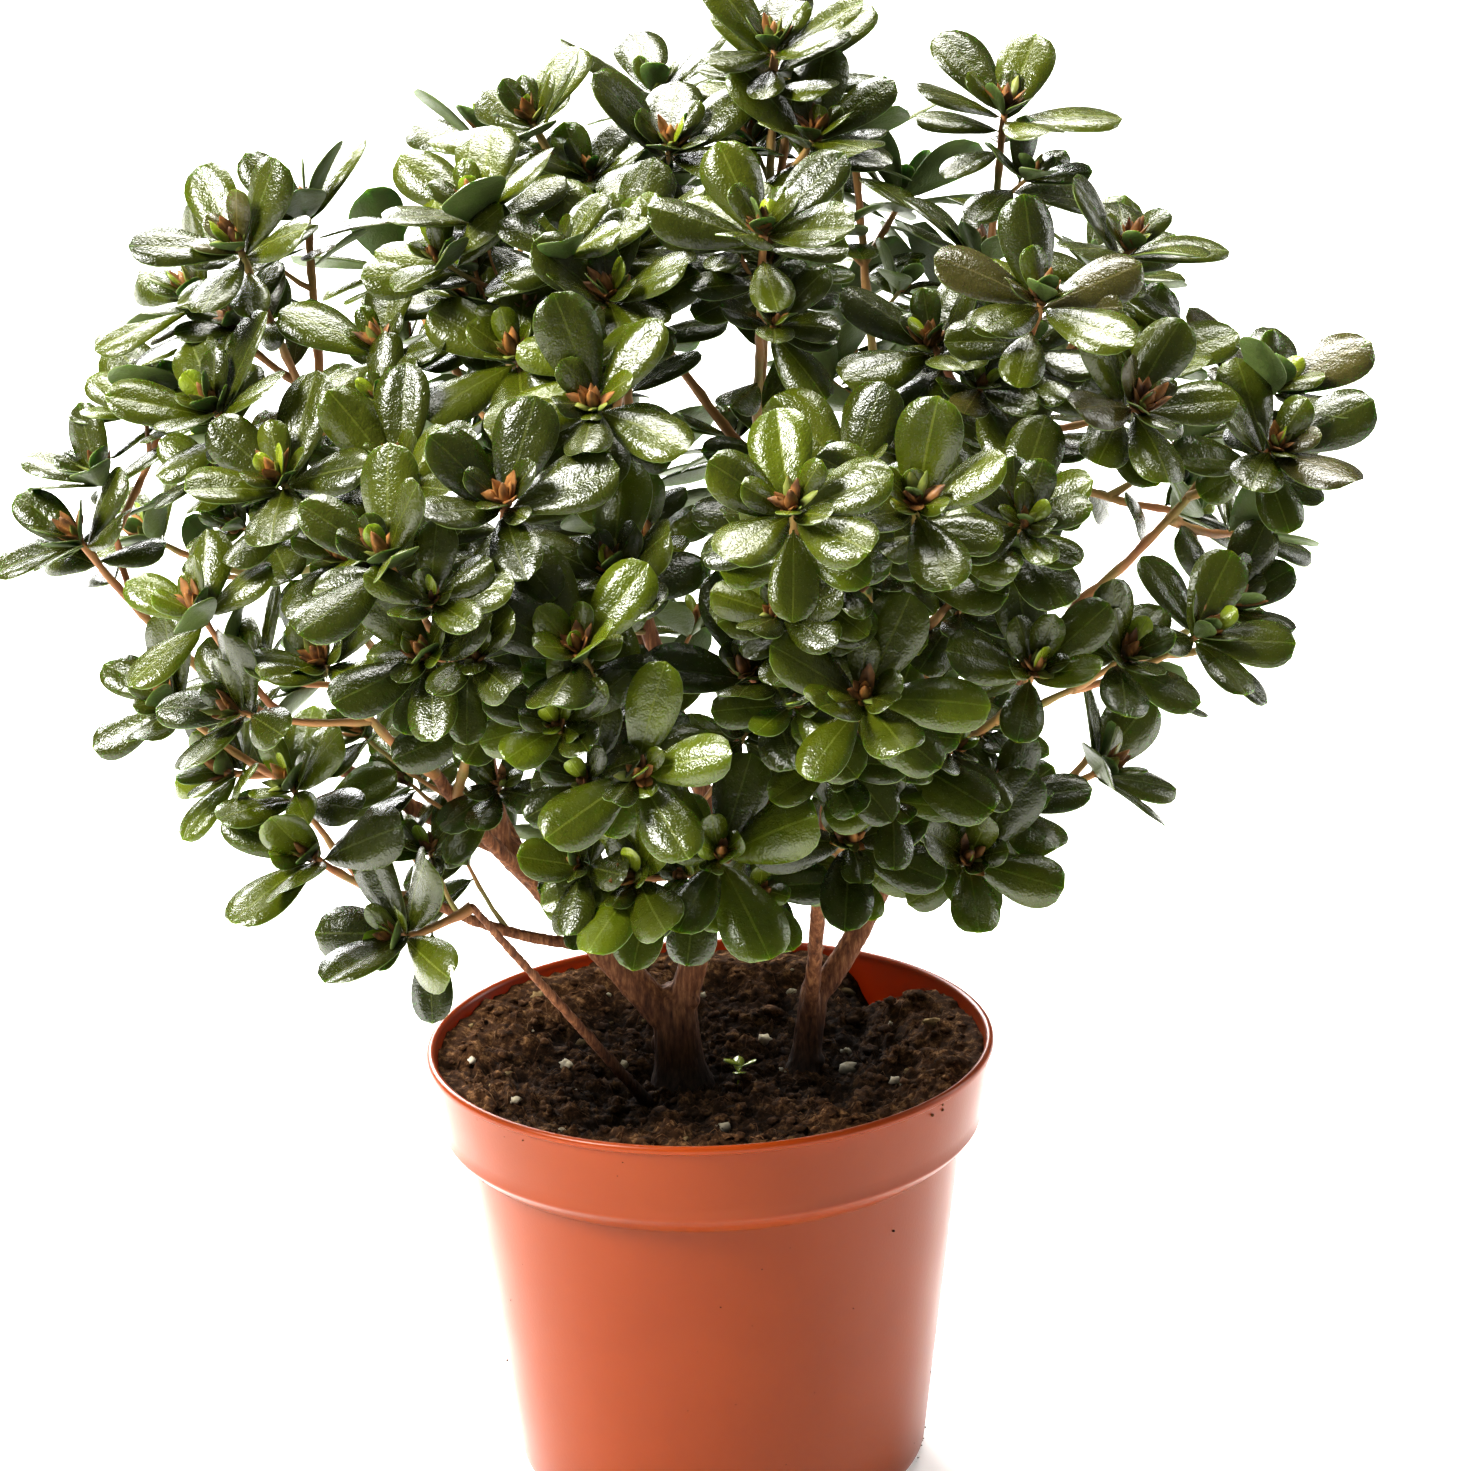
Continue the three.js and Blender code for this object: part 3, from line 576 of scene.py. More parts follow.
class Foliage:
    """Leaves, each set where its blade touches no other leaf and no wood but its own twig."""

    def __init__(self, plant):
        self.rosettes = plant.rosettes
        self.leaves = []
        self.blades = Crowd()
        self.wood = Crowd(plant.limb_shells.shells + plant.twig_shells.shells)
        for rosette in self.rosettes:
            turn = LIGHT_WAY * AXIS_TURN * lit_share(rosette.tip)
            rosette.axis = unit(rosette.axis + turn)
            rosette.spin = Chance(rosette.index, 3).between(0, math.tau)
            rosette.shade = Chance(rosette.index, 11).next()

    def tone(self, rosette, chance):
        """A spray has its own share of fresh or bronze leaves, and a rosette its own shade."""
        name = rosette.twig.spray.name
        pick = (rosette.shade + chance.next()) / 2
        if name in BRONZE_SPRAYS and chance.next() < BRONZE_SHARE:
            return "bronze"
        if pick < (FRESH_SPRAY_SHARE if name in FRESH_SPRAYS else FRESH_SHARE):
            return "fresh"
        return "deep" if pick < DEEP_SHARE else "dark"

    def add(self, rosette, share, angle, spread, length, chance, tries=LEAF_TRIES, tone=None,
            axis=None):
        """A leaf at a share of its twig's length, in the first of some poses that is free."""
        twig = rosette.twig
        tone = tone or self.tone(rosette, chance)
        axis = rosette.axis if axis is None else axis
        for turn, lean, size in tries:
            leaf = spread_leaf(twig.curve.at(share), axis, angle + math.radians(turn),
                               spread + lean, length * size)
            turn_to_light(leaf, chance)
            shell = Shell(leaf.corners(leaf.length * 0.2, 0), LEAF_FACES)
            if self.blades.meets(shell) or self.wood.meets(shell, lambda o: o.twig is not twig):
                continue
            leaf.tone = tone
            leaf.seed = chance.next()
            self.leaves.append(leaf)
            self.blades.add(shell)
            return

    def grow_whorl(self, rosette, layer):
        """One leaf of a rosette, as in the solids: the last one stands more upright."""
        chance = Chance(rosette.index, layer, 7)
        angle = rosette.spin + layer * math.tau / ROSETTE_LEAVES + chance.between(-0.2, 0.2)
        length = chance.between(*LEAF_LENGTH) * (FILL_SIZE if rosette.twig.fill else TRUE_SIZE)
        if is_open_side(rosette.tip):
            length *= SIDE_LEAF_SIZE
        top = layer == ROSETTE_LEAVES - 1
        spread = chance.between(*(TOP_LEAF_SPREAD if top else LEAF_SPREAD)) - LEAF_RISE
        share = 1 - (3 + layer * 0.6) / rosette.twig.curve.length
        self.add(rosette, share, angle, spread, length, chance)

    def grow_inner(self, rosette):
        """Short leaves stand round the buds, and some of them are young."""
        twig = rosette.twig
        chance = Chance(rosette.index, 19)
        size = 0.75 if twig.fill else 1
        for k in range(3 if twig.fill else 4):
            length = chance.between(*INNER_LEAF_LENGTH) * size
            self.add(rosette, 1 - (2 + k * 0.4) / twig.curve.length,
                     rosette.spin + 0.5 + k * GOLDEN_ANGLE, chance.between(*INNER_LEAF_SPREAD),
                     length, chance, LEAF_TRIES[:6])
        for k in range(int(chance.next() * 3.2)):
            self.add(rosette, 1 - 1.2 / twig.curve.length, rosette.spin + 1.7 + k * GOLDEN_ANGLE,
                     chance.between(*YOUNG_LEAF_SPREAD), chance.between(*YOUNG_LEAF_LENGTH) * size,
                     chance, LEAF_TRIES[:5], "young")

    def grow_low(self, rosette):
        """Older leaves spread wide under a rosette; the low part of the crown stays sparse."""
        chance = Chance(rosette.index, 13)
        for k in range(2 if rosette.twig.fill else 4):
            if is_sparse(rosette.tip) and chance.next() > LOW_SHARE:
                continue
            share = max(0.2, 1 - (7 + k * 1.6) / rosette.twig.curve.length)
            self.add(rosette, share, rosette.spin + 0.6 + k * GOLDEN_ANGLE,
                     chance.between(*LOW_LEAF_SPREAD), chance.between(*LOW_LEAF_LENGTH), chance)

    def grow_along(self, rosette):
        """Leaves along the outer part of the twig."""
        curve = rosette.twig.curve
        chance = Chance(rosette.index, 17)
        count = int((curve.length * 0.62 - 8) / TWIG_LEAF_STEP)
        for k in range(min(5, count)):
            if is_sparse(rosette.tip) and chance.next() > LOW_SHARE:
                continue
            share = 0.94 - (12 + k * TWIG_LEAF_STEP) / curve.length
            self.add(rosette, share, k * GOLDEN_ANGLE + chance.next() / 2,
                     chance.between(*TWIG_LEAF_SPREAD), chance.between(*TWIG_LEAF_LENGTH), chance,
                     axis=curve.tangent(share))

    def grow(self):
        for layer in range(ROSETTE_LEAVES):
            for rosette in self.rosettes:
                self.grow_whorl(rosette, layer)
        for step in (self.grow_inner, self.grow_low, self.grow_along):
            for rosette in self.rosettes:
                step(rosette)


# Meshes

def new_object(name, vertices, faces, materials, indices=None):
    mesh = bpy.data.meshes.new(name)
    vertices = np.asarray(vertices, dtype=np.float32)
    sizes = np.array([len(face) for face in faces], dtype=np.int32)
    corners = np.concatenate(faces).astype(np.int32)
    mesh.vertices.add(len(vertices))
    mesh.vertices.foreach_set("co", (vertices * MM).ravel())
    mesh.loops.add(len(corners))
    mesh.loops.foreach_set("vertex_index", corners)
    mesh.polygons.add(len(sizes))
    starts = (np.cumsum(sizes) - sizes).astype(np.int32)
    mesh.polygons.foreach_set("loop_start", starts)
    if indices is not None:
        mesh.polygons.foreach_set("material_index", np.asarray(indices, dtype=np.int32))
    mesh.update(calc_edges=True)
    mesh.validate()
    mesh.shade_smooth()
    for material in materials:
        mesh.materials.append(material)
    piece = bpy.data.objects.new(name, mesh)
    bpy.context.collection.objects.link(piece)
    return piece


def join_parts(name, materials, parts):
    """One mesh of many parts, each given by its vertices, its faces and its material's index."""
    vertices, faces, indices = [], [], []
    count = 0
    for points, corners, index in parts:
        vertices.append(np.asarray(points, float))
        faces.extend(tuple(c + count for c in face) for face in corners)
        indices.extend([index] * len(corners))
        count += len(points)
    return new_object(name, np.concatenate(vertices), faces, materials, indices)


def round_z(radius, angle, height=0):
    return np.array([radius * math.cos(angle), radius * math.sin(angle), height])


def tube_rings(centres, radii, sides, shape=lambda angle, step: 1.0):
    """Vertices and faces of a closed tube along a line of centres."""
    centres = np.asarray(centres)
    vertices, faces = [], []
    last = len(centres) - 1
    tangents = np.gradient(centres, axis=0)
    first = across(unit(tangents[0]), 0)
    for step, centre in enumerate(centres):
        axis = unit(tangents[step])
        first = unit(first - axis * first.dot(axis))
        second = np.cross(axis, first)
        for k in range(sides):
            angle = k * math.tau / sides
            reach = radii[step] * shape(angle, step)
            vertices.append(centre + (first * math.cos(angle) + second * math.sin(angle)) * reach)
            if step < last:
                a, b = step * sides + k, step * sides + (k + 1) % sides
                faces.append((a, b, b + sides, a + sides))
    faces.append(tuple(range(sides))[::-1])
    faces.append(tuple(last * sides + k for k in range(sides)))
    return vertices, faces


# A leaf's blade has rows along it and columns across it. A thin column is its midrib. The thin
# rows are its side veins, which lean forward and lie a little lower than the blade between them.
VEIN_ROWS = np.array([0, 0.07, 0.14, 0.205, 0.222, 0.29, 0.36, 0.377, 0.45, 0.52, 0.537, 0.61,
                      0.68, 0.697, 0.78, 0.87, 0.95, 1])
VEINS = (3, 6, 9, 12)
BLADE_COLUMNS = np.array([-1, -0.42, -0.04, 0.04, 0.42, 1])
SMALL_ROWS = np.array([0, 0.08, 0.17, 0.3, 0.44, 0.58, 0.72, 0.84, 0.94, 1])
SMALL_COLUMNS = np.array([-1, -0.05, 0.05, 1])
SCALE_ROWS = np.array([0, 0.3, 0.68, 1])
SCALE_COLUMNS = np.array([-1, 0, 1])


def blade_faces(rows, columns):
    """Faces of the upper side, the underside and the rim, numbered by their material."""
    def top(i, j):
        return i * columns + j

    def low(i, k):
        return (rows + 1) * columns + i * 3 + k

    faces, indices = [], []
    middle = (columns - 1) // 2 if columns % 2 == 0 else None
    for i in range(rows):
        for j in range(columns - 1):
            faces.append((top(i + 1, j), top(i + 1, j + 1), top(i, j + 1), top(i, j)))
            indices.append(2 if j == middle else 0)
        for k in range(2):
            faces.append((low(i, k), low(i, k + 1), low(i + 1, k + 1), low(i + 1, k)))
            indices.append(1)
        end = columns - 1
        faces.append((low(i, 0), low(i + 1, 0), top(i + 1, 0), top(i, 0)))
        faces.append((top(i, end), top(i + 1, end), low(i + 1, 2), low(i, 2)))
        indices.extend((3, 3))
    return np.array(faces), np.array(indices)


def blade_vertices(leaves, rows, columns, veins, shape_at, relief, thickness):
    """All the leaves' vertices at once, with a cup, a droop, a twist and a bend of their own."""
    length = np.array([leaf.length for leaf in leaves])[:, None, None]
    seeds = np.array([leaf.seed for leaf in leaves])
    rolls = np.stack([np.modf(seeds * factor)[0] for factor in (7.3, 31.7, 93.1, 213.9, 517.3, 911.7)])
    cup, sag, twist, slim, swing, fold = rolls[:, :, None, None]
    t = rows[None, :, None]
    last = len(rows) - 1
    low = np.isin(np.arange(last + 1), [i + k for i in veins for k in (0, 1)])
    ripple = np.where(low, -1.0, 1.0)[None, :, None] if veins else np.zeros((1, last + 1, 1))
    half = length * (0.232 + 0.055 * slim)
    width = np.maximum(half * shape_at(t), 0.3)
    width = np.where(t > 0.999, np.minimum(width, half * 0.08), width)
    rim = thickness * np.minimum(1, np.minimum(t, 1 - t) * 8)

    def surface(v, drop):
        x = length * t + width * np.abs(v) ** 1.2 * 0.62 * (1 - t) * np.minimum(1, t * 4)
        y = width * v + length * 0.05 * (swing - 0.5) * t**2
        middle = np.exp(-((v / 0.2) ** 2))
        z = length * (0.07 * t * (1 - t) - (0.02 + 0.13 * sag) * t**2)
        z = z - width * (0.02 + 0.26 * cup) * v**2 + width * 0.07 * (1 - middle) * relief
        z = z + width * (0.46 * fold - 0.26) * np.abs(v) * relief
        z = z + half * 0.012 * ripple * (1 - v**2) * np.sin(math.pi * t) * relief - drop
        angle = (twist - 0.5) * 0.5 * t
        return np.stack([x, y * np.cos(angle) - z * np.sin(angle),
                         y * np.sin(angle) + z * np.cos(angle)], axis=3)

    edges = surface(np.array([-1, 0, 1.0])[None, None, :], rim * np.array([1, 1.8, 1]))
    parts = [surface(columns[None, None, :], 0), edges]
    frames = np.array([(leaf.along, leaf.side, leaf.face) for leaf in leaves])
    roots = np.array([leaf.root for leaf in leaves])[:, None, :]
    local = np.concatenate([part.reshape(len(leaves), -1, 3) for part in parts], axis=1)
    return roots + local @ frames


def leaf_shape(t):
    """The blade's half width as a share of its widest: a short stalk, then a blunt oval."""
    s = np.clip((t - 0.07) / 0.93, 0, 1)
    return s**0.68 * np.clip(1 - s, 0, 1) ** 0.45 / 0.4677


def scale_shape(t):
    return np.clip(t + 0.35, 0, 1) ** 0.5 * np.sqrt(np.clip(1 - t, 0, 1)) * 1.1


def join_leaves(name, leaves, materials, rows, columns, veins=(), shape_at=leaf_shape,
                relief=1.0, thickness=0.34):
    faces, indices = blade_faces(len(rows) - 1, len(columns))
    vertices = blade_vertices(leaves, rows, columns, veins, shape_at, relief, thickness)
    offsets = (np.arange(len(leaves)) * vertices.shape[1])[:, None, None]
    return new_object(name, vertices.reshape(-1, 3), (faces[None] + offsets).reshape(-1, 4),
                      materials, np.tile(indices, len(leaves)))


# Materials

class Finish:
    """A procedural material: noise feeds its colour, its roughness and its relief."""

    def __init__(self, name, **inputs):
        self.material = bpy.data.materials.new(name)
        self.material.use_nodes = True
        self.tree = self.material.node_tree
        self.shader = self.tree.nodes["Principled BSDF"]
        self.place = self.node("ShaderNodeTexCoord").outputs["Object"]
        self.feed(self.shader, **inputs)

    def feed(self, made, **inputs):
        """Each input is linked to another node's output or set to a value."""
        for name, value in inputs.items():
            socket = made.inputs[name.replace("_", " ")]
            if isinstance(value, bpy.types.NodeSocket):
                self.tree.links.new(value, socket)
            else:
                socket.default_value = value
        return made

    def node(self, kind, **inputs):
        return self.feed(self.tree.nodes.new(kind), **inputs)

    def noise(self, scale, detail=4.0, roughness=0.5, stretch=(1, 1, 1)):
        place = self.place
        if stretch != (1, 1, 1):
            place = self.node("ShaderNodeMapping", Vector=place, Scale=stretch).outputs["Vector"]
        return self.node("ShaderNodeTexNoise", Vector=place, Scale=scale, Detail=detail,
                         Roughness=roughness).outputs["Fac"]

    def ramp(self, factor, *stops):
        """A ramp of colours, or of greys where a stop has one number."""
        made = self.node("ShaderNodeValToRGB", Fac=factor)
        elements = made.color_ramp.elements
        while len(elements) < len(stops):
            elements.new(0.5)
        for element, (position, tone) in zip(elements, stops):
            element.position = position
            element.color = (*(tone if isinstance(tone, tuple) else (tone,) * 3), 1)
        return made.outputs["Color"]

    def colour(self, tone):
        self.feed(self.shader, Base_Color=tone)

    def rough(self, factor, *stops):
        self.feed(self.shader, Roughness=self.ramp(factor, *stops))

    def bump(self, height, strength, distance, **under):
        relief = self.node("ShaderNodeBump", Height=height, Strength=strength, Distance=distance,
                           **under).outputs["Normal"]
        self.feed(self.shader, Normal=relief)
        return relief

    def rise(self, low, high):
        """Zero below one height and one above another, in metres."""
        height = self.node("ShaderNodeSeparateXYZ", Vector=self.place).outputs["Z"]
        return self.node("ShaderNodeMapRange", Value=height, From_Min=low,
                         From_Max=high).outputs["Result"]

    def multiply(self, tone, shade):
        mix = self.node("ShaderNodeMix")
        mix.data_type = "RGBA"
        mix.blend_type = "MULTIPLY"
        return self.feed(mix, Factor=1.0, A=tone, B=shade).outputs["Result"]


def leaf_material(name, low, high, roughness, specular=0.5):
    leaf = Finish(name, Subsurface_Weight=0.12, Subsurface_Scale=0.002,
                  Subsurface_Radius=(0.5, 1.0, 0.12), Specular_IOR_Level=specular)
    leaf.colour(leaf.ramp(leaf.noise(55, 3), (0.3, low), (0.72, high)))
    grain = leaf.noise(1900, 2)
    leaf.rough(grain, (0.35, roughness), (0.7, roughness + 0.14))
    crinkle = leaf.bump(leaf.noise(380, 3), 0.45, 0.0008)
    leaf.bump(grain, 0.7, 0.00022, Normal=crinkle)
    return leaf.material


def foliage_materials():
    under = leaf_material("leaf_underside", (0.07, 0.1, 0.024), (0.11, 0.15, 0.042), 0.45, 0.4)
    edge = leaf_material("leaf_edge", (0.09, 0.12, 0.025), (0.13, 0.17, 0.04), 0.45)
    made = {}
    for tone, (low, high, rib) in TONES.items():
        top = leaf_material(f"leaf_{tone}", low, high, 0.15, 0.6)
        midrib = leaf_material(f"midrib_{tone}", high, rib, 0.25)
        made[tone] = (top, under, midrib, edge)
    return made


def bark_material():
    """Streaked bark, with painted shade that darkens it towards the soil."""
    bark = Finish("bark", Specular_IOR_Level=0.3)
    streaks = bark.noise(1.0, 6.0, 0.62, (900, 900, 160))
    tone = bark.ramp(streaks, (0.28, (0.045, 0.017, 0.009)), (0.5, (0.19, 0.074, 0.031)),
                     (0.74, (0.44, 0.21, 0.09)))
    # Painted shade: the bark's colour is multiplied down towards the soil, where the crown shades the
    # stems.
    bark.colour(bark.multiply(tone, bark.ramp(bark.rise(0.115, 0.142), (0.0, 0.1), (1.0, 1.0))))
    bark.rough(streaks, (0.2, 0.85), (0.8, 0.55))
    bark.bump(streaks, 0.6, 0.0006)
    return bark.material


def twig_material():
    twig = Finish("young_twig", Specular_IOR_Level=0.4)
    twig.colour(twig.ramp(twig.noise(60, 3), (0.34, (0.19, 0.16, 0.04)),
                          (0.52, (0.34, 0.17, 0.06)), (0.7, (0.3, 0.11, 0.045))))
    fine = twig.noise(1300, 3)
    twig.rough(fine, (0.3, 0.45), (0.7, 0.7))
    twig.bump(fine, 0.4, 0.0003)
    return twig.material


def bud_material(name, low, high):
    bud = Finish(name, Specular_IOR_Level=0.4, Subsurface_Weight=0.1, Subsurface_Scale=0.001)
    bud.colour(bud.ramp(bud.noise(260, 3), (0.32, low), (0.7, high)))
    fine = bud.noise(1500, 2)
    bud.rough(fine, (0.3, 0.4), (0.7, 0.6))
    bud.bump(fine, 0.3, 0.0003)
    return bud.material


def pot_material():
    """Translucent orange plastic, dirty round the foot."""
    pot = Finish("terracotta_plastic", Subsurface_Weight=0.45, Subsurface_Scale=0.006,
                 Subsurface_Radius=(1.0, 0.6, 0.2), Specular_IOR_Level=0.25)
    broad = pot.ramp(pot.noise(16, 3), (0.3, (0.196, 0.032, 0.002)), (0.7, (0.226, 0.04, 0.003)))
    grime = pot.node("ShaderNodeMath")
    grime.operation = "MULTIPLY_ADD"
    grime.inputs[1].default_value = 0.42
    pot.tree.links.new(pot.rise(0.0, 0.012), grime.inputs[0])
    pot.tree.links.new(pot.noise(240, 5, 0.7), grime.inputs[2])
    dirt = pot.ramp(grime.outputs["Value"], (0.44, 0.15), (0.5, 1.0))
    pot.colour(pot.multiply(broad, dirt))
    pot.rough(pot.noise(45, 2), (0.0, 0.24), (1.0, 0.38))
    pot.bump(pot.noise(1500, 2), 0.1, 0.0002)
    return pot.material


def soil_material(name, low, mid, high):
    """Peat, or what is mixed in it, with painted shade that darkens it where it lies low."""
    soil = Finish(name, Specular_IOR_Level=0.1, Roughness=0.92)
    tone = soil.ramp(soil.noise(380, 8, 0.7), (0.3, low), (0.52, mid), (0.72, high))
    # Painted shade: the colour is multiplied down where the soil lies low, under the crown.
    soil.colour(soil.multiply(tone, soil.ramp(soil.rise(0.1115, 0.1165), (0.0, 0.18), (1.0, 1.0))))
    soil.bump(soil.noise(1100, 6, 0.7), 0.9, 0.0008)
    return soil.material


# The pot

def pot_profile():
    """The half section, with the lip, the collar's foot and the lower corner rounded."""
    neck = COLLAR_FOOT - COLLAR_STEP
    lip = POT_HEIGHT - LIP_HEIGHT
    foot = (POT_FOOT_RADIUS - 1.2, 0)
    corner = (POT_CORNER_RADIUS, POT_CORNER_HEIGHT)
    inner_neck = POT_NECK_RADIUS - POT_WALL
    inner_corner = POT_CORNER_RADIUS - POT_WALL

    def stretch(start, end, steps, bulge=0):
        """The points between two ends, on a line that may bulge outwards."""
        (r0, z0), (r1, z1) = start, end
        length = math.hypot(r1 - r0, z1 - z0)
        points = []
        for k in range(1, steps):
            share = k / steps
            lift = bulge * 4 * share * (1 - share) / length
            points.append((r0 + (r1 - r0) * share + (z1 - z0) * lift,
                           z0 + (z1 - z0) * share - (r1 - r0) * lift))
        return points

    def beside(radius, height, *steps):
        return [(radius + r, height + z) for r, z in steps]

    return [
        (0, 0), (12, 0), (12.6, 0.5), (14, 0.5), (14.6, 0), (44, 0), (44.6, 0.4), (46, 0.4),
        (46.6, 0), foot, *stretch(foot, corner, 9, 1.1), *beside(*corner, (0, 0), (0.15, 1)),
        *stretch(corner, (POT_NECK_RADIUS, neck), 8),
        *beside(POT_NECK_RADIUS, neck, (-0.1, -0.8), (0, 0), (1, 0.9), (2.9, 2.3), (4.3, 3.7)),
        *beside(COLLAR_RADIUS, COLLAR_FOOT, (-0.25, -0.4), (0.12, 0), (0.22, 0.5), (0.1, 0.9)),
        *stretch((COLLAR_RADIUS, COLLAR_FOOT + 1), (POT_TOP_RADIUS - 1, lip), 6),
        *beside(POT_TOP_RADIUS, lip, (-1, 0), (-0.6, 0.12), (-0.12, 0.5), (0, 1.1), (-0.1, 1.7)),
        *beside(POT_TOP_RADIUS, POT_HEIGHT, (-0.5, -0.2), (-1, 0), (-1.6, -0.1), (-2.1, -0.5),
                (-2.35, -1.2)),
        *beside(COLLAR_RADIUS - POT_WALL, COLLAR_FOOT, (0.3, 2), (-0.4, 0.8)),
        *beside(inner_neck, neck, (0.5, 1.8), (0, 0.6)),
        (inner_corner, POT_CORNER_HEIGHT), (inner_corner - 0.9, POT_FLOOR + 1.2),
        (POT_FOOT_RADIUS - 1, POT_FLOOR), (0, POT_FLOOR),
    ]


def capped_faces(rings, sides):
    """Faces of rings of points round Z that have one point before them and one after them."""
    faces = []
    last = 1 + (rings - 1) * sides
    for k in range(sides):
        beside = (k + 1) % sides
        faces.append((0, 1 + beside, 1 + k))
        for start in range(1, last, sides):
            a, b = start + k, start + beside
            faces.append((a, b, b + sides, a + sides))
        faces.append((last + k, last + beside, last + sides))
    return faces


def apply_modifiers(piece):
    graph = bpy.context.evaluated_depsgraph_get()
    mesh = bpy.data.meshes.new_from_object(piece.evaluated_get(graph))
    piece.modifiers.clear()
    old = piece.data
    piece.data = mesh
    bpy.data.meshes.remove(old)


def make_pot():
    (_, bottom), *rings, (_, top) = pot_profile()
    angles = [k * math.tau / POT_SIDES for k in range(POT_SIDES)]
    points = [round_z(radius, angle, height) for radius, height in rings for angle in angles]
    pot = new_object("nursery_pot", [(0, 0, bottom), *points, (0, 0, top)],
                     capped_faces(len(rings), POT_SIDES), [pot_material()])
    drills = []
    for k in range(DRAIN_HOLES):
        centre = round_z(DRAIN_RING, (k + 0.5) * math.tau / DRAIN_HOLES)
        centres = [centre + UP * z for z in (-4, 0, 6)]
        drills.append((*tube_rings(centres, [DRAIN_RADIUS] * 3, 32), 0))
    drill = join_parts("drill", [], drills)
    cut = pot.modifiers.new("holes", "BOOLEAN")
    cut.operation = "DIFFERENCE"
    cut.solver = "EXACT"
    cut.object = drill
    apply_modifiers(pot)
    bpy.data.objects.remove(drill)
    pot.data.shade_smooth()
    sharpen(pot, SHARP_ANGLE)
    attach(pot, "root")
    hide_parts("pot")


def sharpen(piece, degrees):
    """Edges between faces that meet at more than an angle are shaded sharp."""
    mesh = bmesh.new()
    mesh.from_mesh(piece.data)
    for edge in mesh.edges:
        if len(edge.link_faces) == 2 and edge.calc_face_angle() > math.radians(degrees):
            edge.smooth = False
    mesh.to_mesh(piece.data)
    mesh.free()


# The soil

def fbm(x, y, z, scale, octaves):
    return noise.fractal(Vector((x / scale, y / scale, z / scale)), 0.6, 2.1, octaves)


def soil_height(x, y):
    """Peat heaped against the rim, but for one hollow at the back, with lumps and grains."""
    distance = math.hypot(x, y)
    share = min(1, max(0, (distance - SOIL_FLAT_RADIUS) / (SOIL_REACH - SOIL_FLAT_RADIUS)))
    share = share * share * (3 - 2 * share)
    angle = math.atan2(y, x)
    heap = SOIL_HEAP * (0.75 + 0.25 * math.sin(angle))
    hollow = SOIL_HOLLOW * max(0, math.cos(angle - HOLLOW_ANGLE)) ** HOLLOW_NARROWNESS
    rough = 2.0 * fbm(x, y, 0, 24, 3) + 2.4 * fbm(x, y, 9, 9, 4)
    grain = 2.0 * abs(fbm(x, y, 4, 4.5, 4)) + 0.6 * fbm(x, y, 7, 1.5, 2)
    calm = 1 - 0.5 * min(1, max(0, distance - SOIL_REACH + 6) / 8)
    level = SOIL_LEVEL - 1.4 + share * heap - share**3 * hollow
    return min(level + (rough + grain) * calm, POT_HEIGHT - 1.6)


def collar_radius(z):
    """The outside radius of the pot's collar at a height."""
    share = (z - COLLAR_FOOT - 1) / (POT_HEIGHT - LIP_HEIGHT - COLLAR_FOOT - 1)
    return COLLAR_RADIUS + (POT_TOP_RADIUS - 1 - COLLAR_RADIUS) * share


def make_soil():
    """The soil's surface in rings, closed below along the inside of the pot."""
    gap = POT_WALL + SOIL_RIM_GAP
    angles = [k * math.tau / SOIL_SIDES for k in range(SOIL_SIDES)]
    vertices = [(0, 0, soil_height(0, 0))]
    for ring in range(1, SOIL_RINGS + 1):
        share = (ring / SOIL_RINGS) ** 0.9
        for angle in angles:
            x, y, _ = round_z(share * (collar_radius(SOIL_LEVEL) - gap), angle)
            height = soil_height(x, y)
            vertices.append(round_z(share * (collar_radius(height) - gap), angle, height))
    wall = POT_WALL + 0.3
    below = ((COLLAR_RADIUS - wall, COLLAR_FOOT + 2),
             (POT_NECK_RADIUS - wall, COLLAR_FOOT - COLLAR_STEP),
             (POT_CORNER_RADIUS - wall, POT_CORNER_HEIGHT + 0.5),
             (POT_FOOT_RADIUS - 1.5, POT_FLOOR + 0.3))
    vertices += [round_z(radius, angle, height) for radius, height in below for angle in angles]
    vertices.append((0, 0, POT_FLOOR + 0.3))
    faces = [(first, *rest[::-1])
             for first, *rest in capped_faces(SOIL_RINGS + len(below), SOIL_SIDES)]
    peat = soil_material("peat", (0.008, 0.0034, 0.0014), (0.078, 0.036, 0.015), (0.4, 0.22, 0.1))
    soil = new_object("potting_soil", vertices, faces, [peat])
    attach(soil, "root")
    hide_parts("soil")
    scatter_soil(peat)


def ball(subdivisions):
    mesh = bmesh.new()
    bmesh.ops.create_icosphere(mesh, subdivisions=subdivisions, radius=1)
    vertices = np.array([tuple(v.co) for v in mesh.verts])
    faces = [tuple(v.index for v in face.verts) for face in mesh.faces]
    mesh.free()
    return vertices, faces


FINE_BALL = ball(2)
COARSE_BALL = ball(1)


def lump(chance, radius, squash=0.75, template=FINE_BALL):
    """An irregular crumb: a ball whose points are pushed in and out."""
    vertices, faces = template
    push = np.array([chance.between(0.55, 1.2) for _ in vertices])[:, None]
    scaled = vertices * push * radius * np.array([chance.between(0.6, 1.7), 1, squash])
    turn = chance.between(0, math.tau)
    spin = np.array([round_z(1, turn), round_z(1, turn + math.pi / 2), UP])
    return scaled @ spin, faces


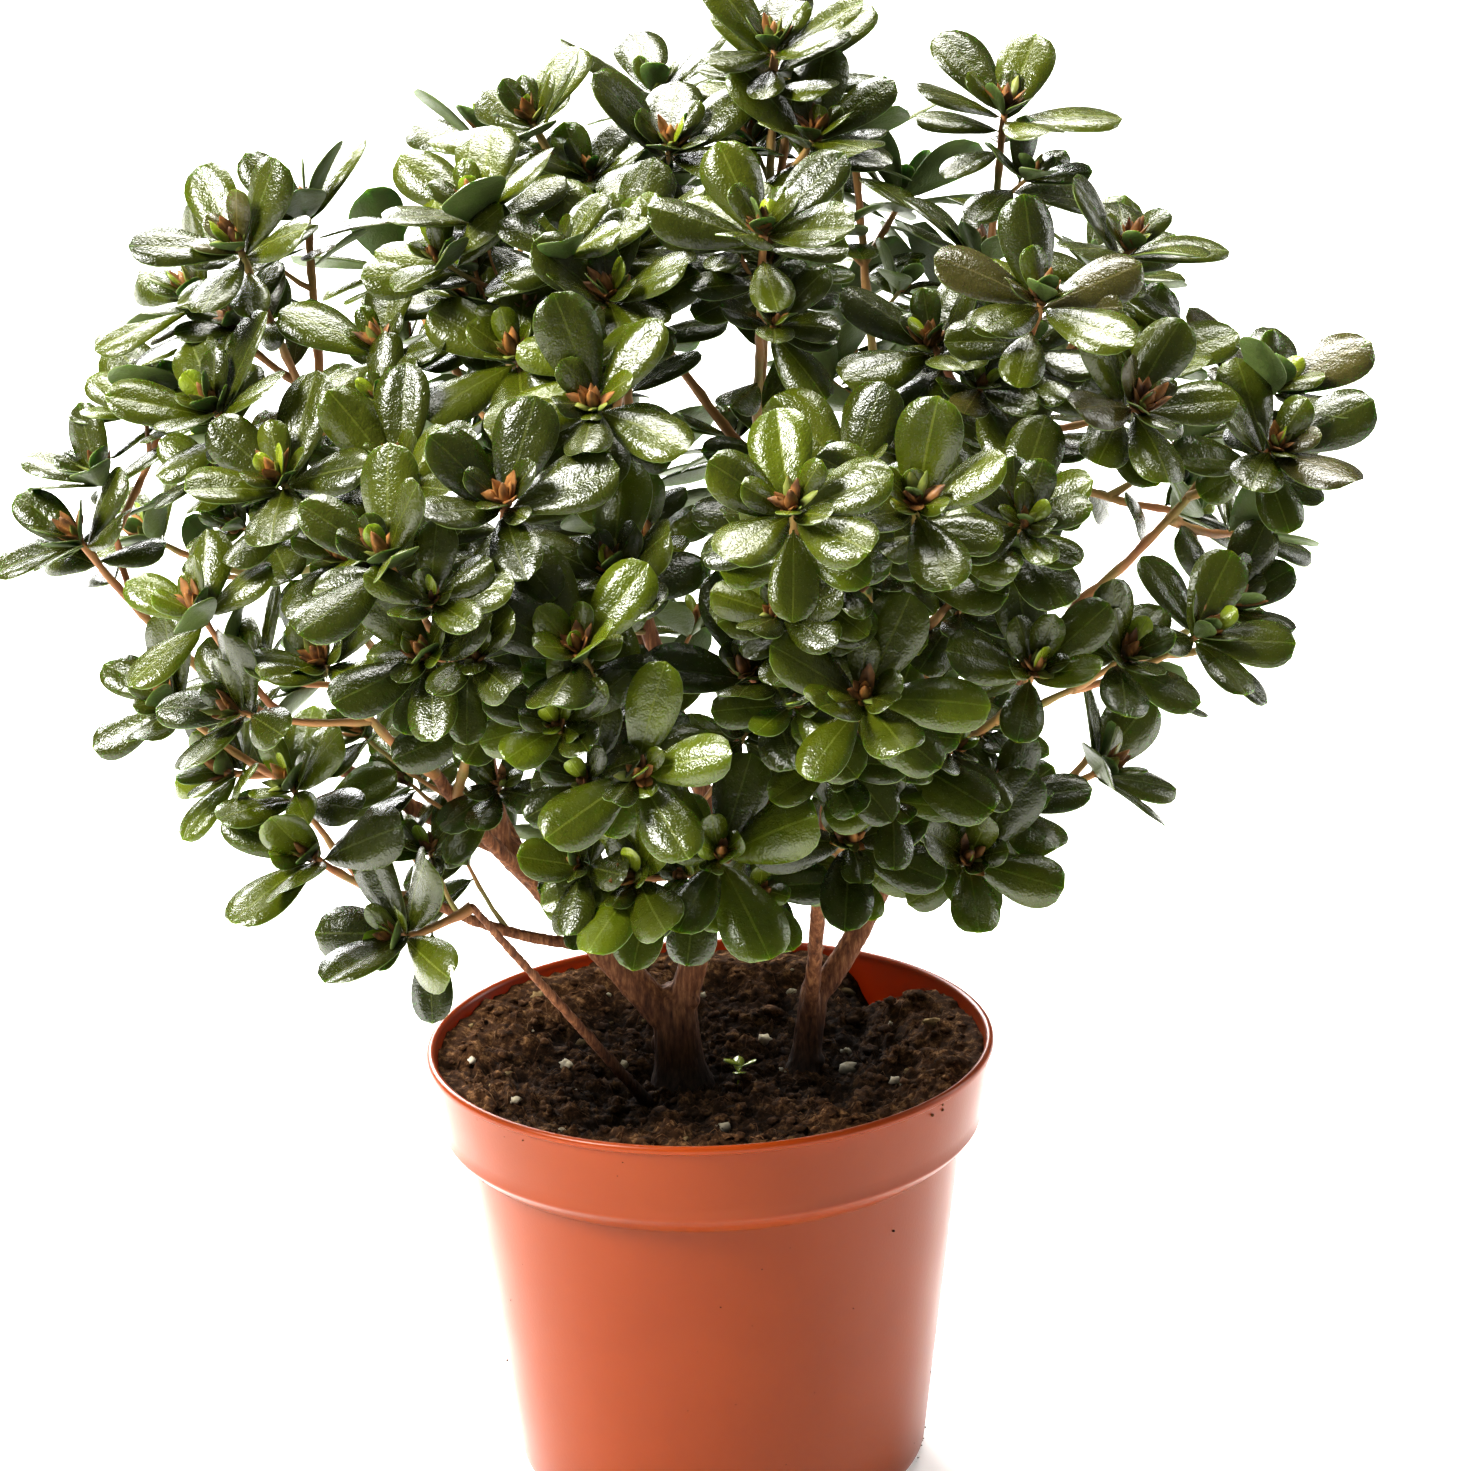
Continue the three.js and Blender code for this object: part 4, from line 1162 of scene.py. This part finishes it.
def on_pot(chance):
    """A spot on the outside of the pot, more often near its foot or its rim."""
    angle = chance.between(0, math.tau)
    pick = chance.next()
    if pick < 0.45:
        z = 1.2 + 9 * chance.next() ** 2
    elif pick < 0.6:
        z = POT_HEIGHT - LIP_HEIGHT - 3 * chance.next()
    else:
        z = chance.between(8, 116)
    if z > COLLAR_FOOT + 1:
        return round_z(collar_radius(z), angle, z)
    neck = COLLAR_FOOT - COLLAR_STEP
    z = min(z, neck)
    share = max(0, (z - POT_CORNER_HEIGHT) / (neck - POT_CORNER_HEIGHT))
    radius = POT_CORNER_RADIUS + (POT_NECK_RADIUS - POT_CORNER_RADIUS) * share
    return round_z(radius - 0.1 * max(0, POT_CORNER_HEIGHT - z) ** 1.5, angle, z)


def on_soil(chance, reach):
    radius = reach * math.sqrt(chance.next())
    x, y, _ = round_z(radius, chance.between(0, math.tau))
    return np.array([x, y, soil_height(x, y)])


def crumbs(chance):
    for _ in range(CRUMBS):
        radius = 0.35 + 1.9 * chance.next() ** 4
        vertices, faces = lump(chance, radius, 0.6, FINE_BALL if radius > 1.2 else COARSE_BALL)
        index = 1 if chance.next() < 0.13 else 0
        yield vertices + on_soil(chance, 70 - radius) + UP * radius * 0.15, faces, index


def beads(chance):
    """Beads of perlite, fewer of them in front."""
    for k in range(BEADS):
        radius = 0.35 + 1.7 * chance.next() ** 2
        spot = on_soil(chance, SOIL_REACH)
        if spot[1] < -20 and chance.next() > 0.3:
            continue
        vertices, faces = lump(chance, radius, 0.9)
        yield vertices + spot + UP * radius * 0.55, faces, 1 if k % 3 == 0 else 0


def dirt(chance):
    for _ in range(SPECKS):
        vertices, faces = lump(chance, 0.12 + 0.42 * chance.next() ** 3)
        yield vertices + on_pot(chance), faces, 0


def fibres(chance):
    """Short bent threads that lie on the soil, each raised in its middle."""
    for _ in range(FIBRES):
        foot = on_soil(chance, SOIL_REACH - 2)
        heading = chance.between(0, math.tau)
        length = chance.between(2, 9)
        bend = chance.between(-0.45, 0.45)
        lift = chance.between(0.1, 1.2)
        centres = []
        for share in np.arange(7) / 6:
            x, y, _ = foot + round_z(length * share, heading + bend * share)
            if math.hypot(x, y) > SOIL_REACH + 1:
                break
            centres.append((x, y, soil_height(x, y) + 0.1 + lift * math.sin(math.pi * share)))
        if len(centres) > 3:
            radius = chance.between(0.07, 0.2)
            yield *tube_rings(centres, np.linspace(radius, radius / 2, len(centres)), 5), 0


def finish_soil(piece):
    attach(piece, "root")


def scatter_soil(peat):
    chance = Chance(77)
    light = soil_material("bark_crumb", (0.05, 0.024, 0.012), (0.13, 0.066, 0.032), (0.28, 0.17, 0.09))
    white = soil_material("perlite", (0.56, 0.48, 0.34), (0.78, 0.7, 0.54), (0.96, 0.91, 0.8))
    cream = soil_material("cream_grain", (0.2, 0.13, 0.06), (0.36, 0.26, 0.13), (0.5, 0.38, 0.22))
    strand = soil_material("root_fibre", (0.05, 0.023, 0.01), (0.16, 0.08, 0.038), (0.42, 0.27, 0.15))
    finish_soil(join_parts("soil_crumbs", [peat, light], crumbs(chance)))
    finish_soil(join_parts("perlite_beads", [white, cream], beads(chance)))
    finish_soil(join_parts("pot_dirt", [light], dirt(chance)))
    finish_soil(join_parts("root_fibres", [strand], fibres(chance)))


# Stems and boughs

def limb_tube(limb):
    """One limb as a tube that tapers to a rounded tip, and spreads in ridges at a stem's foot."""
    curve = limb.curve
    steps = max(8, int(curve.length / LIMB_STEP))
    shares = np.linspace(0, 1, steps + 1)
    centres = [curve.at(share) for share in shares]
    radii = [limb.radius_at(share) for share in shares]
    heading = curve.tangent(1)
    for reach, size in ((0.5, 0.85), (0.9, 0.5)):
        centres.append(curve.at(1) + heading * radii[steps] * reach)
        radii.append(radii[steps] * size)
    if limb.flare:
        heading = curve.tangent(0)
        centres.insert(0, curve.at(0) - heading * STEM_DEPTH)
        radii.insert(0, radii[0] * 1.08)

    def ridged(angle, step):
        share = min(1, step / steps)
        depth = 0.07 if limb.flare else 0.04
        foot = max(0, 1 - share * 2) * 0.14 if limb.flare else 0
        wave = math.sin(angle * 3 + share * 2) * depth + math.sin(angle * 2 + 1) * depth * 0.6
        return 1 + wave + foot * math.sin(angle * 4 + 0.7)

    return tube_rings(centres, radii, LIMB_SIDES, ridged)


def read_vectors(items, name):
    flat = np.empty(len(items) * 3, dtype=np.float32)
    items.foreach_get(name, flat)
    return flat.reshape(-1, 3).astype(float)


def wood_parts(limbs):
    """The limbs as tubes, and small knobs along them."""
    chance = Chance(41)
    for limb in limbs:
        yield *limb_tube(limb), 0
        for _ in range(max(1, int(limb.curve.length / KNOB_STEP))):
            share = chance.between(0.12, 0.9)
            way = across(limb.curve.tangent(share), chance.between(0, math.tau))
            radius = limb.radius_at(share)
            knob = radius * chance.between(*KNOB_SIZE)
            vertices, faces = FINE_BALL
            yield vertices * knob + (limb.curve.at(share) + way * radius * 0.72), faces, 0


def make_bark(limbs):
    """Stems and boughs joined into one mesh, with the bark's relief on it."""
    bark = join_parts("bark", [bark_material()], wood_parts(limbs))
    remesh = bark.modifiers.new("join", "REMESH")
    remesh.mode = "VOXEL"
    remesh.voxel_size = BARK_VOXEL * MM
    apply_modifiers(bark)
    points = read_vectors(bark.data.vertices, "co") / MM
    normals = read_vectors(bark.data.vertex_normals, "vector")
    for i, (x, y, z) in enumerate(points):
        relief = 0.26 * fbm(x, y, z * 0.3, 2.4, 3) + 0.12 * fbm(x, y, z * 0.6, 0.9, 2)
        points[i] += normals[i] * relief
    bark.data.vertices.foreach_set("co", (points * MM).astype(np.float32).ravel())
    bark.data.update()
    bark.data.shade_smooth()
    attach(bark, "root")
    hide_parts(*[limb.name for limb in limbs])


# Twigs, buds and leaves

def twig_parts(rosettes):
    for rosette in rosettes:
        curve = rosette.twig.curve
        chance = Chance(rosette.index, 23)
        steps = max(5, int(curve.length / TWIG_STEP))
        centres, radii = [], []
        for step in range(steps + 1):
            share = step / steps
            taper = 1.12 - 0.3 * share + 0.35 * max(0, 1 - share * 9)
            knot = 1.16 if step % 3 == 1 else 0.97
            sway = across(curve.tangent(share), step * 2.1) * chance.between(-0.25, 0.25)
            centres.append(curve.at(share) + (sway if 0 < step < steps else 0))
            radii.append(rosette.twig.radius * 0.82 * taper * knot)
        yield *tube_rings(centres, radii, TWIG_SIDES), 0


def make_twigs(foliage):
    twigs = join_parts("leafy_twigs", [twig_material()], twig_parts(foliage.rosettes))
    finish_foliage(twigs)


def finish_foliage(piece):
    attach(piece, "root")
    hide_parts(*[row[0] for row in SPRAYS])


def make_buds(foliage):
    """Bud scales stand round each rosette's middle, with a pointed bud among them."""
    scales = {"brown": [], "green": []}
    hearts = []
    for rosette in foliage.rosettes:
        chance = Chance(rosette.index, 29)
        twig = rosette.twig
        small = 0.85 if twig.fill else 1.25
        length = chance.between(6, 8.5) * small
        centre = twig.curve.at(1) - rosette.axis * 2.4
        heights = (0, 0.2, 0.45, 0.7, 0.88, 1.0)
        widths = (0.75, 1.15, 1.25, 0.9, 0.5, 0.12)
        hearts.append((*tube_rings([centre + rosette.axis * length * h for h in heights],
                                   [w * small * 1.15 for w in widths], 9), 0))
        for k in range(5 if twig.fill else 9):
            angle = k * GOLDEN_ANGLE + chance.between(-0.2, 0.2)
            leaf = spread_leaf(centre + rosette.axis * (0.4 + 0.18 * k), rosette.axis, angle,
                               chance.between(8, 46), chance.between(4.2, 7.6) * small)
            leaf.seed = chance.next()
            scales["green" if chance.next() < 0.24 else "brown"].append(leaf)
    brown = bud_material("bud_scale", (0.07, 0.03, 0.012), (0.36, 0.17, 0.045))
    green = bud_material("bud_green", (0.12, 0.15, 0.025), (0.24, 0.26, 0.06))
    finish_foliage(join_parts("buds", [brown], hearts))
    for name, material in (("brown", brown), ("green", green)):
        finish_foliage(join_leaves(f"bud_scales_{name}", scales[name], [material] * 4, SCALE_ROWS,
                                   SCALE_COLUMNS, (), scale_shape, 0.4, 0.5))


def make_seedling(green):
    """A small weed that has sprouted in the soil."""
    x, y = SEEDLING
    foot = np.array([x, y, soil_height(x, y)])
    heads = [foot + np.array([0.3, 0, 3.2]), foot + np.array([1.2, 0.4, 5])]
    stalk = tube_rings([foot - UP, *heads], [0.35, 0.3, 0.2], 6)
    leaves = []
    for k in range(4):
        leaf = spread_leaf(heads[k // 2], UP, k * math.pi + (k // 2) * 1.3, 62, 6.5 - k * 0.7)
        leaf.seed = 0.37 + k * 0.13
        leaves.append(leaf)
    finish_soil(join_parts("seedling_stalk", [green[0]], [(*stalk, 0)]))
    finish_soil(join_leaves("seedling_leaves", leaves, green, SMALL_ROWS, SMALL_COLUMNS))


def make_leaves(foliage, materials):
    """Each tone's leaves in pieces of a bounded count, with small leaves apart and plainer."""
    for tone in TONES:
        toned = [leaf for leaf in foliage.leaves if leaf.tone == tone]
        large = [leaf for leaf in toned if leaf.length >= SMALL_LEAF]
        small = [leaf for leaf in toned if leaf.length < SMALL_LEAF]
        for number, start in enumerate(range(0, len(large), LEAVES_PER_PIECE)):
            finish_foliage(join_leaves(f"leaves_{tone}_{number + 1}",
                                       large[start:start + LEAVES_PER_PIECE], materials[tone],
                                       VEIN_ROWS, BLADE_COLUMNS, VEINS))
        if small:
            finish_foliage(join_leaves(f"small_leaves_{tone}", small, materials[tone], SMALL_ROWS,
                                       SMALL_COLUMNS))


# Floor, lights and camera

def make_floor():
    pale = Finish("pale_floor", Roughness=0.8, Base_Color=(0.86, 0.86, 0.86, 1),
                  Emission_Color=(1, 1, 1, 1), Emission_Strength=0.3)
    corners = [(-9000, -6000, 0), (9000, -6000, 0), (9000, 16000, 0), (-9000, 16000, 0)]
    floor = new_object("floor", corners, [(0, 1, 2, 3)], [pale.material])


def area_light(name, place_mm, aim_mm, size_mm, watts, colour=(1, 1, 1)):
    data = bpy.data.lights.new(name, "AREA")
    data.shape = "RECTANGLE"
    data.size, data.size_y = (side * MM for side in size_mm)
    data.energy = watts
    data.color = colour
    light = bpy.data.objects.new(name, data)
    bpy.context.collection.objects.link(light)
    light.location = Vector(place_mm) * MM
    heading = Vector(aim_mm) - Vector(place_mm)
    light.rotation_euler = heading.to_track_quat("-Z", "Y").to_euler()


def make_lights():
    world = bpy.data.worlds.new("studio")
    bpy.context.scene.world = world
    world.use_nodes = True
    background = world.node_tree.nodes["Background"]
    background.inputs["Color"].default_value = (1, 0.98, 0.95, 1)
    background.inputs["Strength"].default_value = 0.2
    crown = (0, 0, 260)
    area_light("overhead", (0, 1100, 2300), (0, 1100, 0), (1600, 1300), 158, (1, 0.985, 0.95))
    area_light("key", (-1400, -680, 1700), crown, (760, 760), 142, (1, 0.99, 0.97))
    area_light("window", (-600, 1500, 900), crown, (1100, 700), 50)
    area_light("side", (1200, 500, 600), crown, (250, 900), 7)


def make_camera():
    pitch, roll = math.radians(VIEW_PITCH), math.radians(VIEW_ROLL)
    forward = Vector((0, math.cos(pitch), -math.sin(pitch)))
    data = bpy.data.cameras.new("camera")
    camera = bpy.data.objects.new("camera", data)
    bpy.context.collection.objects.link(camera)
    camera.location = (Vector(VIEW_AIM) - forward * VIEW_DISTANCE) * MM
    level = forward.to_track_quat("-Z", "Y").to_matrix()
    camera.rotation_euler = (Matrix.Rotation(-roll, 3, -forward) @ level).to_euler()
    data.sensor_width = SENSOR_WIDTH
    data.lens = SENSOR_WIDTH * VIEW_FOCAL_PIXELS / PHOTO_LONG_SIDE
    data.clip_end = 100
    bpy.context.scene.camera = camera


make_camera()
make_floor()
make_lights()
bpy.context.scene.view_settings.view_transform = "Standard"
bpy.context.scene.view_settings.gamma = 0.85

limbs = grow_limbs()
plant = Plant(limbs)
plant.grow()
plant.fill()
foliage = Foliage(plant)
foliage.grow()

make_pot()
make_soil()
make_bark(limbs)
make_twigs(foliage)
make_buds(foliage)
leaf_finishes = foliage_materials()
make_leaves(foliage, leaf_finishes)
make_seedling(leaf_finishes["young"])
